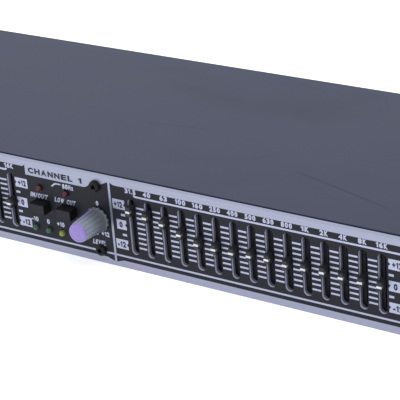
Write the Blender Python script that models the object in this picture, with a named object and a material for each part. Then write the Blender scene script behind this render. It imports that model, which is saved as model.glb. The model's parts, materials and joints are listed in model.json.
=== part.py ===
"""Dual fifteen-band graphic equalizer, one rack unit high.

X runs along the front panel, Y from the front to the back and Z up. The origin is on the
surface that the base stands on, halfway between the knobs' front and the sockets' back.
Each named object is one closed solid. Channel 1 is the left half of the panel and channel 2
the right half, and both halves are laid out from their own left edge.
"""
import math

import bmesh
import bpy
from mathutils import Matrix

MM = 0.001
GAP = 0.3 * MM                     # clearance between two pieces that would touch

# Front panel: a standard 19-inch panel, one unit high
PANEL_WIDTH = 482.6 * MM
PANEL_HEIGHT = 44.0 * MM
PANEL_THICK = 2.5 * MM
MIDDLE_Z = PANEL_HEIGHT / 2
RACK_HOLE_X = 465.1 * MM / 2
RACK_HOLE_Z = 31.75 * MM / 2       # above and below the middle
RACK_SLOT_LENGTH = 10.0 * MM
RACK_SLOT_HEIGHT = 6.8 * MM

# Chassis: an open tray, a rear panel and a cover of folded sheet
CHASSIS_DEPTH = 142.0 * MM         # from the panel's front to the back of the cover
COVER_HALF_WIDTH = 220.0 * MM
COVER_TOP = 43.6 * MM
COVER_FRONT = 4.6 * MM
COVER_FLANGE = 13.0 * MM
SHEET = 1.2 * MM
TOP_LIP = 4.0 * MM                 # folded down from the tray's top rail, behind the panel
TOP_RAIL = 8.0 * MM                # how far the rail runs back under the cover

# Knob reach in front of the panel and socket nuts behind the rear panel set the depth
KNOB_REACH = 17.0 * MM
SOCKET_PROUD = 2.8 * MM
PANEL_FRONT = (KNOB_REACH - CHASSIS_DEPTH - SOCKET_PROUD) / 2

# Bands: one slide control each, on a pitch of 0.35 inch
BANDS = ("31_5", "40", "63", "100", "160", "250", "400", "500", "630", "800",
         "1k", "2k", "4k", "8k", "16k")
BAND_PITCH = 8.89 * MM
FIRST_BAND_X = 11.7 * MM           # from the channel's left edge
CHANNEL_WIDTH = 193.66 * MM
CHANNEL_LEFT = {1: -CHANNEL_WIDTH, 2: 0.0}
SLOT_HALF_WIDTH = 1.9 * MM
SLOT_HALF_LENGTH = 13.8 * MM
CAP_WIDTH = 2.4 * MM
CAP_HEIGHT = 4.4 * MM
CAP_REACH = 3.6 * MM
CAP_TAIL = 1.8 * MM
LEVER_WIDTH = 1.2 * MM
LEVER_HEIGHT = 3.2 * MM
LEVER_END = 7.5 * MM

# Where each control is left, in millimetres above or below its middle
SETTINGS = {
    1: (2.0, 3.0, 1.0, 0.5, -1.5, -2.0, 0.5, 0.0, 1.5, 2.5, 1.0, 0.0, -0.5, -1.0, -0.6),
    2: (8.8, 7.5, 6.2, 3.0, 0.2, -0.2, -0.1, 0.4, 0.8, 0.0, 0.3, 0.7, 0.2, 0.1, 0.1),
}

# Slide potentiometers on their board, behind the panel
POT_WIDTH = 7.2 * MM
POT_HALF_HEIGHT = 16.5 * MM
POT_FRONT = 4.3 * MM
POT_SLOT_HALF_WIDTH = 1.0 * MM
POT_SLOT_HALF_HEIGHT = 13.0 * MM
POT_SLOT_END = 9.5 * MM
SLIDER_BOARD_FRONT = 12.3 * MM
BOARD_THICK = 1.6 * MM
BOARD_HALF_HEIGHT = 18.5 * MM
BOARD_MARGIN = 5.4 * MM
JOIN = 0.2 * MM                    # how far a piece is sunk in the board that it is soldered to

# Level control
KNOB_X = 186.1 * MM
KNOB_Z = MIDDLE_Z + 0.3 * MM
KNOB_SKIRT_RADIUS = 6.3 * MM
KNOB_SKIRT_THICK = 1.5 * MM
KNOB_BASE_RADIUS = 5.7 * MM
KNOB_TIP_RADIUS = 4.65 * MM
KNOB_CHAMFER = 0.5 * MM
KNOB_GAP = 0.4 * MM
SHAFT_RADIUS = 3.0 * MM
SHAFT_END = 12.5 * MM
BUSH_RADIUS = 3.7 * MM
BUSH_FRONT = 0.6 * MM
LEVEL_POT_RADIUS = 8.0 * MM
LEVEL_POT_FRONT = 5.0 * MM
LEVEL_POT_BACK = 14.0 * MM
BORE_CLEARANCE = 0.3 * MM

# Push buttons and their latching switches
BUTTONS = {"in_out_button": 154.06 * MM, "low_cut_button": 169.21 * MM}
BUTTON_Z = MIDDLE_Z + 0.7 * MM
BUTTON_WIDTH = 8.5 * MM
BUTTON_HEIGHT = 5.1 * MM
BUTTON_REACH = 4.8 * MM
BUTTON_TAIL = 1.8 * MM
PLUNGER = 3.0 * MM
PLUNGER_END = 9.0 * MM
SWITCH_WIDTH = 7.6 * MM
SWITCH_FRONT = 6.5 * MM
SWITCH_BORE_END = 12.6 * MM
CONTROL_BOARD_FRONT = 14.3 * MM
CONTROL_BOARD_X = (144.5 * MM, 176.5 * MM)

# Light-emitting diodes, held with the buttons in a moulded guide
METER_LEDS = (148.8 * MM, 156.5 * MM, 164.2 * MM)
METER_LED_Z = 10.6 * MM
STATUS_LEDS = (153.5 * MM, 168.7 * MM)
STATUS_LED_Z = 31.6 * MM
LED_RADIUS = 1.5 * MM
LED_REACH = 2.1 * MM
GUIDE_X = (145.5 * MM, 174.5 * MM)
GUIDE_Z = (7.0 * MM, 35.5 * MM)
GUIDE_BACK = 5.3 * MM

# Power switch at the panel's right end
POWER_X = 206.0 * MM
SWITCH_BEZEL = (7.5 * MM, 10.5 * MM)        # half width, half height
SWITCH_BODY = (6.1 * MM, 9.3 * MM)
SWITCH_CAVITY = (5.0 * MM, 8.2 * MM)
BEZEL_REACH = 1.8 * MM
SWITCH_BODY_END = 16.0 * MM
SWITCH_CAVITY_END = 11.0 * MM
ROCKER_HALF_WIDTH = 4.7 * MM
ROCKER_HALF_HEIGHT = 7.0 * MM
ROCKER_PIVOT = 4.0 * MM                     # behind the panel's front
ROCKER_EDGE_REACH = 2.6 * MM                # in front of the panel, at the rocker's ends
ROCKER_MIDDLE_REACH = 1.2 * MM
ROCKER_BACK = 8.0 * MM
ROCKER_TILT = 8.0                           # degrees, at rest

# Rear sockets, measured across the back
REAR_Z = 21.7 * MM
XLR_SOCKETS = {"xlr_input_ch1": -150.0 * MM, "xlr_output_ch1": -118.0 * MM,
               "xlr_input_ch2": -10.0 * MM, "xlr_output_ch2": 22.0 * MM}
XLR_FLANGE = (13.0 * MM, 15.5 * MM)
XLR_RADIUS = 11.7 * MM
XLR_RECESS_RADIUS = 9.4 * MM
XLR_INSERT_RADIUS = 7.7 * MM
XLR_DEPTH = 20.0 * MM
XLR_RECESS_DEPTH = 14.0 * MM
XLR_PIN_CIRCLE = 3.8 * MM
XLR_PIN_RADIUS = 1.2 * MM
XLR_PIN_HOLE_RADIUS = 1.4 * MM
XLR_PIN_STEP_BACK = 2.0 * MM
XLR_PIN_ANGLES = (30, 150, 270)
XLR_PIN_SIDES = 8
FLANGE_THICK = 1.8 * MM
JACK_PAIRS = {"jack_pair_ch1": -83.0 * MM, "jack_pair_ch2": 57.0 * MM}
JACK_SPACING = 18.0 * MM
JACK_BORE_RADIUS = 3.3 * MM
JACK_BUSH_RADIUS = 4.8 * MM
JACK_DEPTH = 26.0 * MM
JACK_BLOCK = (17.5 * MM, 8.0 * MM)
JACK_BORE_DEPTH = 24.0 * MM
INLET_X = 165.0 * MM
INLET_FLANGE = (25.0 * MM, 11.5 * MM)
INLET_BODY = (13.7 * MM, 9.8 * MM)
INLET_RECESS = (12.1 * MM, 8.1 * MM)
INLET_DEPTH = 26.0 * MM
INLET_RECESS_DEPTH = 17.0 * MM
INLET_BLADE = (1.0 * MM, 2.0 * MM)
INLET_BLADES = ((-7.0 * MM, -2.0 * MM), (7.0 * MM, -2.0 * MM), (0.0, 2.0 * MM))

# Transformer and main board
TRANSFORMER_X = 165.0 * MM
TRANSFORMER_Y = 78.0 * MM
CORE_HALF = (24.0 * MM, 11.0 * MM, 17.0 * MM)
CORE_WINDOW = (6.0 * MM, 14.0 * MM, 9.0 * MM)      # inner edge, outer edge, half height
WINDING_HALF_DEPTH = 19.0 * MM
MAIN_BOARD_X = (-206.0 * MM, 118.0 * MM)
MAIN_BOARD_Y = (22.0 * MM, 114.0 * MM)
MAIN_BOARD_Z = 6.0 * MM
CHIP_HALF = (5.0 * MM, 3.3 * MM)
CHIP_HEIGHT = 4.0 * MM
CHIP_COLUMNS, CHIP_ROWS = 8, 2
FIRST_CHIP = (30.0 * MM, 20.0 * MM)                # from the board's left and front edges
CHIP_PITCH = (36.0 * MM, 26.0 * MM)
CAPACITOR_RADIUS = 5.0 * MM
CAPACITOR_HEIGHT = 16.0 * MM
CAPACITORS = 4
FIRST_CAPACITOR = (16.0 * MM, 12.0 * MM)           # from the board's right and back edges
CAPACITOR_PITCH = 15.0 * MM

ROUND = 24                                  # sides of a large round piece
SMALL_ROUND = 12
SLOT_END_SIDES = 6


# ---------------------------------------------------------------- shapes

def circle(x, z, radius, sides=ROUND):
    """Outline of a round piece, in X and Z."""
    angles = [math.tau * (i + 0.5) / sides for i in range(sides)]
    return [(x + radius * math.cos(a), z + radius * math.sin(a)) for a in angles]


def rectangle(x, z, half_width, half_height):
    """Outline of a rectangular piece, in X and Z."""
    return [(x - half_width, z - half_height), (x + half_width, z - half_height),
            (x + half_width, z + half_height), (x - half_width, z + half_height)]


def obround(x, z, half_length, radius, upright):
    """Outline of a slot with round ends: half_length is to the slot's end."""
    points = []
    for end in (1, -1):
        for i in range(SLOT_END_SIDES + 1):
            turn = math.pi * i / SLOT_END_SIDES
            across = end * radius * math.cos(turn)
            along = end * (half_length - radius + radius * math.sin(turn))
            points.append((x + across, z + along) if upright else (x + along, z - across))
    return points


def prism(shape, outline, y_front, y_back):
    """Add an outline in X and Z to the shape, pushed from one distance behind the panel to another."""
    corners = [shape.verts.new((x, PANEL_FRONT + y_front, z)) for x, z in outline]
    face = shape.faces.new(corners)
    made = bmesh.ops.extrude_face_region(shape, geom=[face])
    moved = [item for item in made["geom"] if isinstance(item, bmesh.types.BMVert)]
    bmesh.ops.translate(shape, vec=(0, y_back - y_front, 0), verts=moved)
    return shape


def turned(shape, profile, x, z, sides):
    """Spin a profile of (radius, distance behind the panel) about a line along Y."""
    points = [shape.verts.new((x + radius, PANEL_FRONT + y, z)) for radius, y in profile]
    edges = [shape.edges.new(pair) for pair in zip(points, points[1:])]
    bmesh.ops.spin(shape, geom=points + edges, cent=(x, PANEL_FRONT, z), axis=(0, 1, 0),
                   angle=math.tau, steps=sides, use_merge=True)
    bmesh.ops.remove_doubles(shape, verts=shape.verts, dist=0.001 * MM)
    return shape


def outline_solid(outline, y_front, y_back):
    """A solid of its own from one outline."""
    return prism(bmesh.new(), outline, y_front, y_back)


def as_mesh(shape):
    """Turn a bmesh into a mesh whose faces point outwards."""
    if isinstance(shape, bpy.types.Mesh):
        return shape
    bmesh.ops.recalc_face_normals(shape, faces=shape.faces)
    mesh = bpy.data.meshes.new("shape")
    shape.to_mesh(mesh)
    shape.free()
    return mesh


def combined(base, joins=None, cuts=None):
    """One mesh: the base shape with the joined shapes added, then the cut shapes taken out."""
    collection = bpy.context.scene.collection.objects
    body = bpy.data.objects.new("working_body", as_mesh(base))
    collection.link(body)
    tools = []
    for operation, shape in (("UNION", joins), ("DIFFERENCE", cuts)):
        if shape is None:
            continue
        tool = bpy.data.objects.new("working_tool", as_mesh(shape))
        tool.hide_render = True
        tool.display_type = "WIRE"
        collection.link(tool)
        tools.append(tool)
        modifier = body.modifiers.new(operation.lower(), "BOOLEAN")
        modifier.operation = operation
        modifier.solver = "EXACT"
        modifier.object = tool
    mesh = bpy.data.meshes.new_from_object(body.evaluated_get(bpy.context.evaluated_depsgraph_get()))
    for spent in [body] + tools:
        bpy.data.objects.remove(spent)
    return mesh


def piece(name, shape, material, pivot=(0.0, 0.0, 0.0), smooth=False):
    """Add a named object whose origin is at the pivot and whose mesh stays where it was modelled."""
    mesh = as_mesh(shape).copy()
    mesh.name = name
    mesh.transform(Matrix.Translation([-value for value in pivot]))
    mesh.materials.clear()
    mesh.materials.append(material)
    if smooth:
        mesh.shade_smooth()
        mesh.set_sharp_from_angle(angle=math.radians(35))
    made = bpy.data.objects.new(name, mesh)
    made.location = pivot
    bpy.context.scene.collection.objects.link(made)
    return made


def copy_at(source, name, location):
    """Another object with the same mesh, somewhere else."""
    made = bpy.data.objects.new(name, source.data)
    made.location = location
    bpy.context.scene.collection.objects.link(made)
    return made


def finish_material(name, colour, roughness, metallic):
    """A plain material with one colour, roughness and metallic value."""
    material = bpy.data.materials.new(name)
    material.use_nodes = True
    shader = material.node_tree.nodes["Principled BSDF"]
    shader.inputs["Base Color"].default_value = (*colour, 1.0)
    shader.inputs["Roughness"].default_value = roughness
    shader.inputs["Metallic"].default_value = metallic
    return material


# ---------------------------------------------------------------- places

def band_x(channel, index):
    """Where a band's slide control stands along the panel."""
    return CHANNEL_LEFT[channel] + FIRST_BAND_X + BAND_PITCH * index


def panel_cuts():
    """Every hole in the front panel, as prisms that pass right through it."""
    outlines = []
    for channel, left in CHANNEL_LEFT.items():
        for index in range(len(BANDS)):
            outlines.append(obround(band_x(channel, index), MIDDLE_Z, SLOT_HALF_LENGTH,
                                    SLOT_HALF_WIDTH, upright=True))
        for button_x in BUTTONS.values():
            outlines.append(rectangle(left + button_x, BUTTON_Z, BUTTON_WIDTH / 2 + GAP,
                                      BUTTON_HEIGHT / 2 + GAP))
        for x in METER_LEDS:
            outlines.append(circle(left + x, METER_LED_Z, LED_RADIUS + GAP, SMALL_ROUND))
        for x in STATUS_LEDS:
            outlines.append(circle(left + x, STATUS_LED_Z, LED_RADIUS + GAP, SMALL_ROUND))
        outlines.append(circle(left + KNOB_X, KNOB_Z, BUSH_RADIUS + GAP, ROUND))
    outlines.append(rectangle(POWER_X, MIDDLE_Z, SWITCH_BODY[0] + GAP, SWITCH_BODY[1] + GAP))
    for side in (-1, 1):
        for level in (-1, 1):
            outlines.append(obround(side * RACK_HOLE_X, MIDDLE_Z + level * RACK_HOLE_Z,
                                    RACK_SLOT_LENGTH / 2, RACK_SLOT_HEIGHT / 2, upright=False))
    shape = bmesh.new()
    for outline in outlines:
        prism(shape, outline, -MM, PANEL_THICK + MM)
    return shape


def rear_cuts():
    """Every hole in the rear panel."""
    front, back = CHASSIS_DEPTH - SHEET - MM, CHASSIS_DEPTH + MM
    shape = bmesh.new()
    for x in XLR_SOCKETS.values():
        prism(shape, circle(x, REAR_Z, XLR_RADIUS + GAP), front, back)
    for middle in JACK_PAIRS.values():
        for side in (-0.5, 0.5):
            outline = circle(middle + side * JACK_SPACING, REAR_Z, JACK_BUSH_RADIUS + GAP)
            prism(shape, outline, front, back)
    outline = rectangle(INLET_X, REAR_Z, INLET_BODY[0] + GAP, INLET_BODY[1] + GAP)
    return prism(shape, outline, front, back)


# ---------------------------------------------------------------- casing

def make_casing(paint, brushed):
    """The front panel, the tray with its top rail, the rear panel and the cover."""
    full_panel = rectangle(0, MIDDLE_Z, PANEL_WIDTH / 2, PANEL_HEIGHT / 2)
    panel = combined(outline_solid(full_panel, 0, PANEL_THICK), cuts=panel_cuts())
    piece("front_panel", panel, brushed)

    # The tray's walls stand inside the cover's flanges, and a folded rail joins their front ends
    wall_x = COVER_HALF_WIDTH - SHEET - GAP
    wall_top = COVER_TOP - SHEET - GAP
    front = PANEL_THICK + GAP
    tray = outline_solid([(-wall_x, 0), (wall_x, 0), (wall_x, wall_top), (-wall_x, wall_top)],
                         front, CHASSIS_DEPTH)
    inner_x = wall_x - SHEET
    above = wall_top + MM
    room = outline_solid([(-inner_x, SHEET), (inner_x, SHEET), (inner_x, above), (-inner_x, above)],
                         front - MM, CHASSIS_DEPTH + MM)
    lip_z, rail_z = wall_top - TOP_LIP, wall_top - SHEET
    rail = outline_solid([(-wall_x, lip_z), (wall_x, lip_z), (wall_x, wall_top), (-wall_x, wall_top)],
                         front, front + TOP_RAIL)
    under_rail = outline_solid([(-inner_x, 0), (inner_x, 0), (inner_x, rail_z), (-inner_x, rail_z)],
                               front + SHEET, front + TOP_RAIL + MM)
    rail = combined(rail, cuts=under_rail)
    tray = combined(combined(tray, cuts=room), joins=rail)
    piece("chassis_tray", tray, paint)

    rear_x = inner_x - GAP
    rear_outline = [(-rear_x, SHEET + GAP), (rear_x, SHEET + GAP), (rear_x, wall_top), (-rear_x, wall_top)]
    rear = outline_solid(rear_outline, CHASSIS_DEPTH - SHEET, CHASSIS_DEPTH)
    piece("rear_panel", combined(rear, cuts=rear_cuts()), paint)

    outer, inner = COVER_HALF_WIDTH, COVER_HALF_WIDTH - SHEET
    hem, underside = COVER_TOP - COVER_FLANGE, COVER_TOP - SHEET
    cover = [(-outer, hem), (-inner, hem), (-inner, underside), (inner, underside),
             (inner, hem), (outer, hem), (outer, COVER_TOP), (-outer, COVER_TOP)]
    piece("top_cover", outline_solid(cover, COVER_FRONT, CHASSIS_DEPTH), paint)


# ---------------------------------------------------------------- slide controls

def make_slider_boards(board_green):
    """One board for each channel, with fifteen slide potentiometers soldered on."""
    for channel in CHANNEL_LEFT:
        first, last = band_x(channel, 0), band_x(channel, len(BANDS) - 1)
        outline = rectangle((first + last) / 2, MIDDLE_Z, (last - first) / 2 + BOARD_MARGIN,
                            BOARD_HALF_HEIGHT)
        board = outline_solid(outline, SLIDER_BOARD_FRONT, SLIDER_BOARD_FRONT + BOARD_THICK)
        frames, tracks = bmesh.new(), bmesh.new()
        for index in range(len(BANDS)):
            x = band_x(channel, index)
            prism(frames, rectangle(x, MIDDLE_Z, POT_WIDTH / 2, POT_HALF_HEIGHT),
                  POT_FRONT, SLIDER_BOARD_FRONT + JOIN)
            prism(tracks, rectangle(x, MIDDLE_Z, POT_SLOT_HALF_WIDTH, POT_SLOT_HALF_HEIGHT),
                  POT_FRONT - MM, POT_SLOT_END)
        piece(f"slider_board_ch{channel}", combined(board, frames, tracks), board_green)


def make_sliders(black):
    """Thirty caps on levers, each its own object on its own slide."""
    cap = outline_solid(rectangle(0, 0, CAP_WIDTH / 2, CAP_HEIGHT / 2), -CAP_REACH, CAP_TAIL)
    lever = outline_solid(rectangle(0, 0, LEVER_WIDTH / 2, LEVER_HEIGHT / 2), CAP_TAIL - JOIN, LEVER_END)
    slider = combined(cap, joins=lever)
    first = None
    for channel, settings in SETTINGS.items():
        for index, (band, setting) in enumerate(zip(BANDS, settings)):
            place = (band_x(channel, index), PANEL_FRONT, MIDDLE_Z + setting * MM)
            name = f"slider_ch{channel}_{band}"
            if first is None:
                first = piece(name, slider, black, pivot=(0, PANEL_FRONT, 0))
                first.location = place
            else:
                copy_at(first, name, place)


# ---------------------------------------------------------------- level, buttons and lights

def make_level_controls(grey, metal):
    """A potentiometer with a threaded bush, and a tapered knob on its shaft."""
    for channel, left in CHANNEL_LEFT.items():
        x = left + KNOB_X
        bore = SHAFT_RADIUS + BORE_CLEARANCE
        body = [(0, SHAFT_END + 2 * GAP), (bore, SHAFT_END + 2 * GAP), (bore, BUSH_FRONT),
                (BUSH_RADIUS, BUSH_FRONT), (BUSH_RADIUS, LEVEL_POT_FRONT),
                (LEVEL_POT_RADIUS, LEVEL_POT_FRONT), (LEVEL_POT_RADIUS, LEVEL_POT_BACK),
                (0, LEVEL_POT_BACK)]
        piece(f"level_pot_ch{channel}", turned(bmesh.new(), body, x, KNOB_Z, ROUND), metal, smooth=True)

        skirt_front = -KNOB_GAP - KNOB_SKIRT_THICK
        knob = [(0, -KNOB_REACH), (KNOB_TIP_RADIUS - KNOB_CHAMFER, -KNOB_REACH),
                (KNOB_TIP_RADIUS, KNOB_CHAMFER - KNOB_REACH), (KNOB_BASE_RADIUS, skirt_front),
                (KNOB_SKIRT_RADIUS, skirt_front), (KNOB_SKIRT_RADIUS, -KNOB_GAP),
                (SHAFT_RADIUS, -KNOB_GAP), (SHAFT_RADIUS, SHAFT_END), (0, SHAFT_END)]
        piece(f"level_knob_ch{channel}", turned(bmesh.new(), knob, x, KNOB_Z, ROUND), grey,
              pivot=(x, PANEL_FRONT, KNOB_Z), smooth=True)


def make_buttons(black, board_green):
    """Two caps on plungers for each channel, and the board with their latching switches."""
    for channel, left in CHANNEL_LEFT.items():
        low, high = CONTROL_BOARD_X
        outline = rectangle(left + (low + high) / 2, MIDDLE_Z, (high - low) / 2, BOARD_HALF_HEIGHT)
        board = outline_solid(outline, CONTROL_BOARD_FRONT, CONTROL_BOARD_FRONT + BOARD_THICK)
        switches, bores = bmesh.new(), bmesh.new()
        for name, button_x in BUTTONS.items():
            x = left + button_x
            prism(switches, rectangle(x, BUTTON_Z, SWITCH_WIDTH / 2, SWITCH_WIDTH / 2),
                  SWITCH_FRONT, CONTROL_BOARD_FRONT + JOIN)
            prism(bores, rectangle(x, BUTTON_Z, PLUNGER / 2 + GAP, PLUNGER / 2 + GAP),
                  SWITCH_FRONT - MM, SWITCH_BORE_END)
            cap = outline_solid(rectangle(x, BUTTON_Z, BUTTON_WIDTH / 2, BUTTON_HEIGHT / 2),
                                -BUTTON_REACH, BUTTON_TAIL)
            plunger = outline_solid(rectangle(x, BUTTON_Z, PLUNGER / 2, PLUNGER / 2),
                                    BUTTON_TAIL - JOIN, PLUNGER_END)
            piece(f"{name}_ch{channel}", combined(cap, joins=plunger), black,
                  pivot=(x, PANEL_FRONT, BUTTON_Z))
        piece(f"control_board_ch{channel}", combined(board, switches, bores), board_green)


def make_led_guides(black):
    """A moulded guide for each channel, holding five lights and leaving room for the buttons."""
    dome_start = LED_RADIUS - LED_REACH
    dome = [(0, -LED_REACH)]
    dome += [(LED_RADIUS * math.sin(math.radians(a)), dome_start - LED_RADIUS * math.cos(math.radians(a)))
             for a in (30, 60, 90)]
    back = PANEL_THICK + GAP
    profile = dome + [(LED_RADIUS, back + MM), (0, back + MM)]
    for channel, left in CHANNEL_LEFT.items():
        low, high = GUIDE_X
        bottom, top = GUIDE_Z
        outline = rectangle(left + (low + high) / 2, (bottom + top) / 2, (high - low) / 2,
                            (top - bottom) / 2)
        lights, windows = bmesh.new(), bmesh.new()
        for z, row in ((METER_LED_Z, METER_LEDS), (STATUS_LED_Z, STATUS_LEDS)):
            for x in row:
                turned(lights, profile, left + x, z, SMALL_ROUND)
        for button_x in BUTTONS.values():
            prism(windows, rectangle(left + button_x, BUTTON_Z, BUTTON_WIDTH / 2 + GAP,
                                     BUTTON_HEIGHT / 2 + GAP), 0, GUIDE_BACK + MM)
        guide = combined(outline_solid(outline, back, GUIDE_BACK), lights, windows)
        piece(f"led_guide_ch{channel}", guide, black)


# ---------------------------------------------------------------- power

def make_power_switch(black):
    """A switch body with its bezel, and the rocker that tips in it."""
    bezel = outline_solid(rectangle(POWER_X, MIDDLE_Z, *SWITCH_BEZEL), -BEZEL_REACH, -GAP)
    body = outline_solid(rectangle(POWER_X, MIDDLE_Z, *SWITCH_BODY), -GAP - JOIN, SWITCH_BODY_END)
    cavity = outline_solid(rectangle(POWER_X, MIDDLE_Z, *SWITCH_CAVITY), -BEZEL_REACH - MM,
                           SWITCH_CAVITY_END)
    piece("power_switch_body", combined(bezel, body, cavity), black)

    # Side view of the rocker, as distance behind the panel and height above its pivot
    side = [(-ROCKER_MIDDLE_REACH, 0), (-ROCKER_EDGE_REACH, ROCKER_HALF_HEIGHT),
            (ROCKER_PIVOT, ROCKER_HALF_HEIGHT), (ROCKER_BACK, ROCKER_HALF_HEIGHT / 2),
            (ROCKER_BACK, -ROCKER_HALF_HEIGHT / 2), (ROCKER_PIVOT, -ROCKER_HALF_HEIGHT),
            (-ROCKER_EDGE_REACH, -ROCKER_HALF_HEIGHT)]
    shape = bmesh.new()
    corners = [shape.verts.new((POWER_X - ROCKER_HALF_WIDTH, PANEL_FRONT + y, MIDDLE_Z + z))
               for y, z in side]
    made = bmesh.ops.extrude_face_region(shape, geom=[shape.faces.new(corners)])
    moved = [item for item in made["geom"] if isinstance(item, bmesh.types.BMVert)]
    bmesh.ops.translate(shape, vec=(2 * ROCKER_HALF_WIDTH, 0, 0), verts=moved)
    pivot = (POWER_X, PANEL_FRONT + ROCKER_PIVOT, MIDDLE_Z)
    bmesh.ops.rotate(shape, cent=pivot, verts=shape.verts,
                     matrix=Matrix.Rotation(math.radians(ROCKER_TILT), 3, "X"))
    piece("power_rocker", shape, black, pivot=pivot)


def make_mains_inlet(black):
    """An inlet with a flange, an open shroud and three blades."""
    back = CHASSIS_DEPTH
    flange = outline_solid(rectangle(INLET_X, REAR_Z, *INLET_FLANGE), back + GAP,
                           back + GAP + FLANGE_THICK)
    body = outline_solid(rectangle(INLET_X, REAR_Z, *INLET_BODY), back - INLET_DEPTH,
                         back + GAP + JOIN)
    floor = back - INLET_RECESS_DEPTH
    recess = outline_solid(rectangle(INLET_X, REAR_Z, *INLET_RECESS), floor, back + FLANGE_THICK + MM)
    blades = bmesh.new()
    for x, z in INLET_BLADES:
        prism(blades, rectangle(INLET_X + x, REAR_Z + z, *INLET_BLADE), floor - MM, back - MM)
    piece("mains_inlet", combined(flange, body, combined(recess, cuts=blades)), black)


def make_transformer(iron, copper):
    """A laminated core with two windows, and the winding on its middle limb."""
    half_x, half_y, half_z = CORE_HALF
    inner, outer, window_z = CORE_WINDOW
    x, y = TRANSFORMER_X, TRANSFORMER_Y
    z = SHEET + GAP + half_z
    core = outline_solid(rectangle(x, z, half_x, half_z), y - half_y, y + half_y)
    windows = bmesh.new()
    for side in (-1, 1):
        prism(windows, rectangle(x + side * (inner + outer) / 2, z, (outer - inner) / 2, window_z),
              y - half_y - MM, y + half_y + MM)
    piece("transformer_core", combined(core, cuts=windows), iron)

    coil = outline_solid(rectangle(x, z, outer - GAP, window_z - GAP), y - WINDING_HALF_DEPTH,
                         y + WINDING_HALF_DEPTH)
    limb = outline_solid(rectangle(x, z, inner + GAP, window_z + MM), y - half_y - GAP,
                         y + half_y + GAP)
    piece("transformer_winding", combined(coil, cuts=limb), copper)


# ---------------------------------------------------------------- rear sockets and main board

def xlr_pins(x, radius, y_front, y_back):
    """Three round pins, or the holes for them, in a triangle."""
    shape = bmesh.new()
    for angle in XLR_PIN_ANGLES:
        pin_x = x + XLR_PIN_CIRCLE * math.cos(math.radians(angle))
        pin_z = REAR_Z + XLR_PIN_CIRCLE * math.sin(math.radians(angle))
        prism(shape, circle(pin_x, pin_z, radius, XLR_PIN_SIDES), y_front, y_back)
    return shape


def make_xlr_sockets(black):
    """Two inputs with a holed insert and two outputs with pins."""
    back = CHASSIS_DEPTH
    face = back + GAP + FLANGE_THICK
    floor = back - XLR_RECESS_DEPTH
    for name, x in XLR_SOCKETS.items():
        flange = outline_solid(rectangle(x, REAR_Z, *XLR_FLANGE), back + GAP, face)
        barrel = outline_solid(circle(x, REAR_Z, XLR_RADIUS), back - XLR_DEPTH, back + GAP + JOIN)
        recess = outline_solid(circle(x, REAR_Z, XLR_RECESS_RADIUS), floor, face + MM)
        if "output" in name:
            # The pins stand on the recess's floor
            space = combined(recess, cuts=xlr_pins(x, XLR_PIN_RADIUS, floor - MM,
                                                   back - XLR_PIN_STEP_BACK))
        else:
            # The insert stands in the recess and has three holes
            insert = outline_solid(circle(x, REAR_Z, XLR_INSERT_RADIUS), floor - MM, back)
            groove = combined(recess, cuts=insert)
            holes = xlr_pins(x, XLR_PIN_HOLE_RADIUS, floor, face)
            space = combined(groove, joins=holes)
        piece(name, combined(flange, barrel, space), black, smooth=True)


def make_jack_pairs(black):
    """Two sockets in one housing for each channel, with bushes through the rear panel."""
    back = CHASSIS_DEPTH
    front = back - SHEET - GAP
    for name, middle in JACK_PAIRS.items():
        block = outline_solid(rectangle(middle, REAR_Z, *JACK_BLOCK), back - JACK_DEPTH, front)
        bushes, bores = bmesh.new(), bmesh.new()
        for side in (-0.5, 0.5):
            x = middle + side * JACK_SPACING
            prism(bushes, circle(x, REAR_Z, JACK_BUSH_RADIUS), front - JOIN, back + SOCKET_PROUD)
            prism(bores, circle(x, REAR_Z, JACK_BORE_RADIUS), back - JACK_BORE_DEPTH,
                  back + SOCKET_PROUD + MM)
        piece(name, combined(block, bushes, bores), black, smooth=True)


def make_main_board(board_green):
    """The board with its amplifier chips and smoothing capacitors soldered on."""
    left, right = MAIN_BOARD_X
    front, back = MAIN_BOARD_Y
    top = MAIN_BOARD_Z + BOARD_THICK
    board = outline_solid([(left, MAIN_BOARD_Z), (right, MAIN_BOARD_Z), (right, top), (left, top)],
                          front, back)
    fitted = bmesh.new()
    for column in range(CHIP_COLUMNS):
        for row in range(CHIP_ROWS):
            x = left + FIRST_CHIP[0] + column * CHIP_PITCH[0]
            y = front + FIRST_CHIP[1] + row * CHIP_PITCH[1]
            sides = [(x - CHIP_HALF[0], top - JOIN), (x + CHIP_HALF[0], top - JOIN),
                     (x + CHIP_HALF[0], top + CHIP_HEIGHT), (x - CHIP_HALF[0], top + CHIP_HEIGHT)]
            prism(fitted, sides, y - CHIP_HALF[1], y + CHIP_HALF[1])
    for column in range(CAPACITORS):
        can = bmesh.ops.create_cone(fitted, cap_ends=True, segments=SMALL_ROUND, depth=CAPACITOR_HEIGHT,
                                    radius1=CAPACITOR_RADIUS, radius2=CAPACITOR_RADIUS)
        place = (right - FIRST_CAPACITOR[0] - column * CAPACITOR_PITCH,
                 PANEL_FRONT + back - FIRST_CAPACITOR[1], top - JOIN + CAPACITOR_HEIGHT / 2)
        bmesh.ops.translate(fitted, vec=place, verts=can["verts"])
    piece("main_board", combined(board, joins=fitted), board_green)


# ---------------------------------------------------------------- whole object

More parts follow.
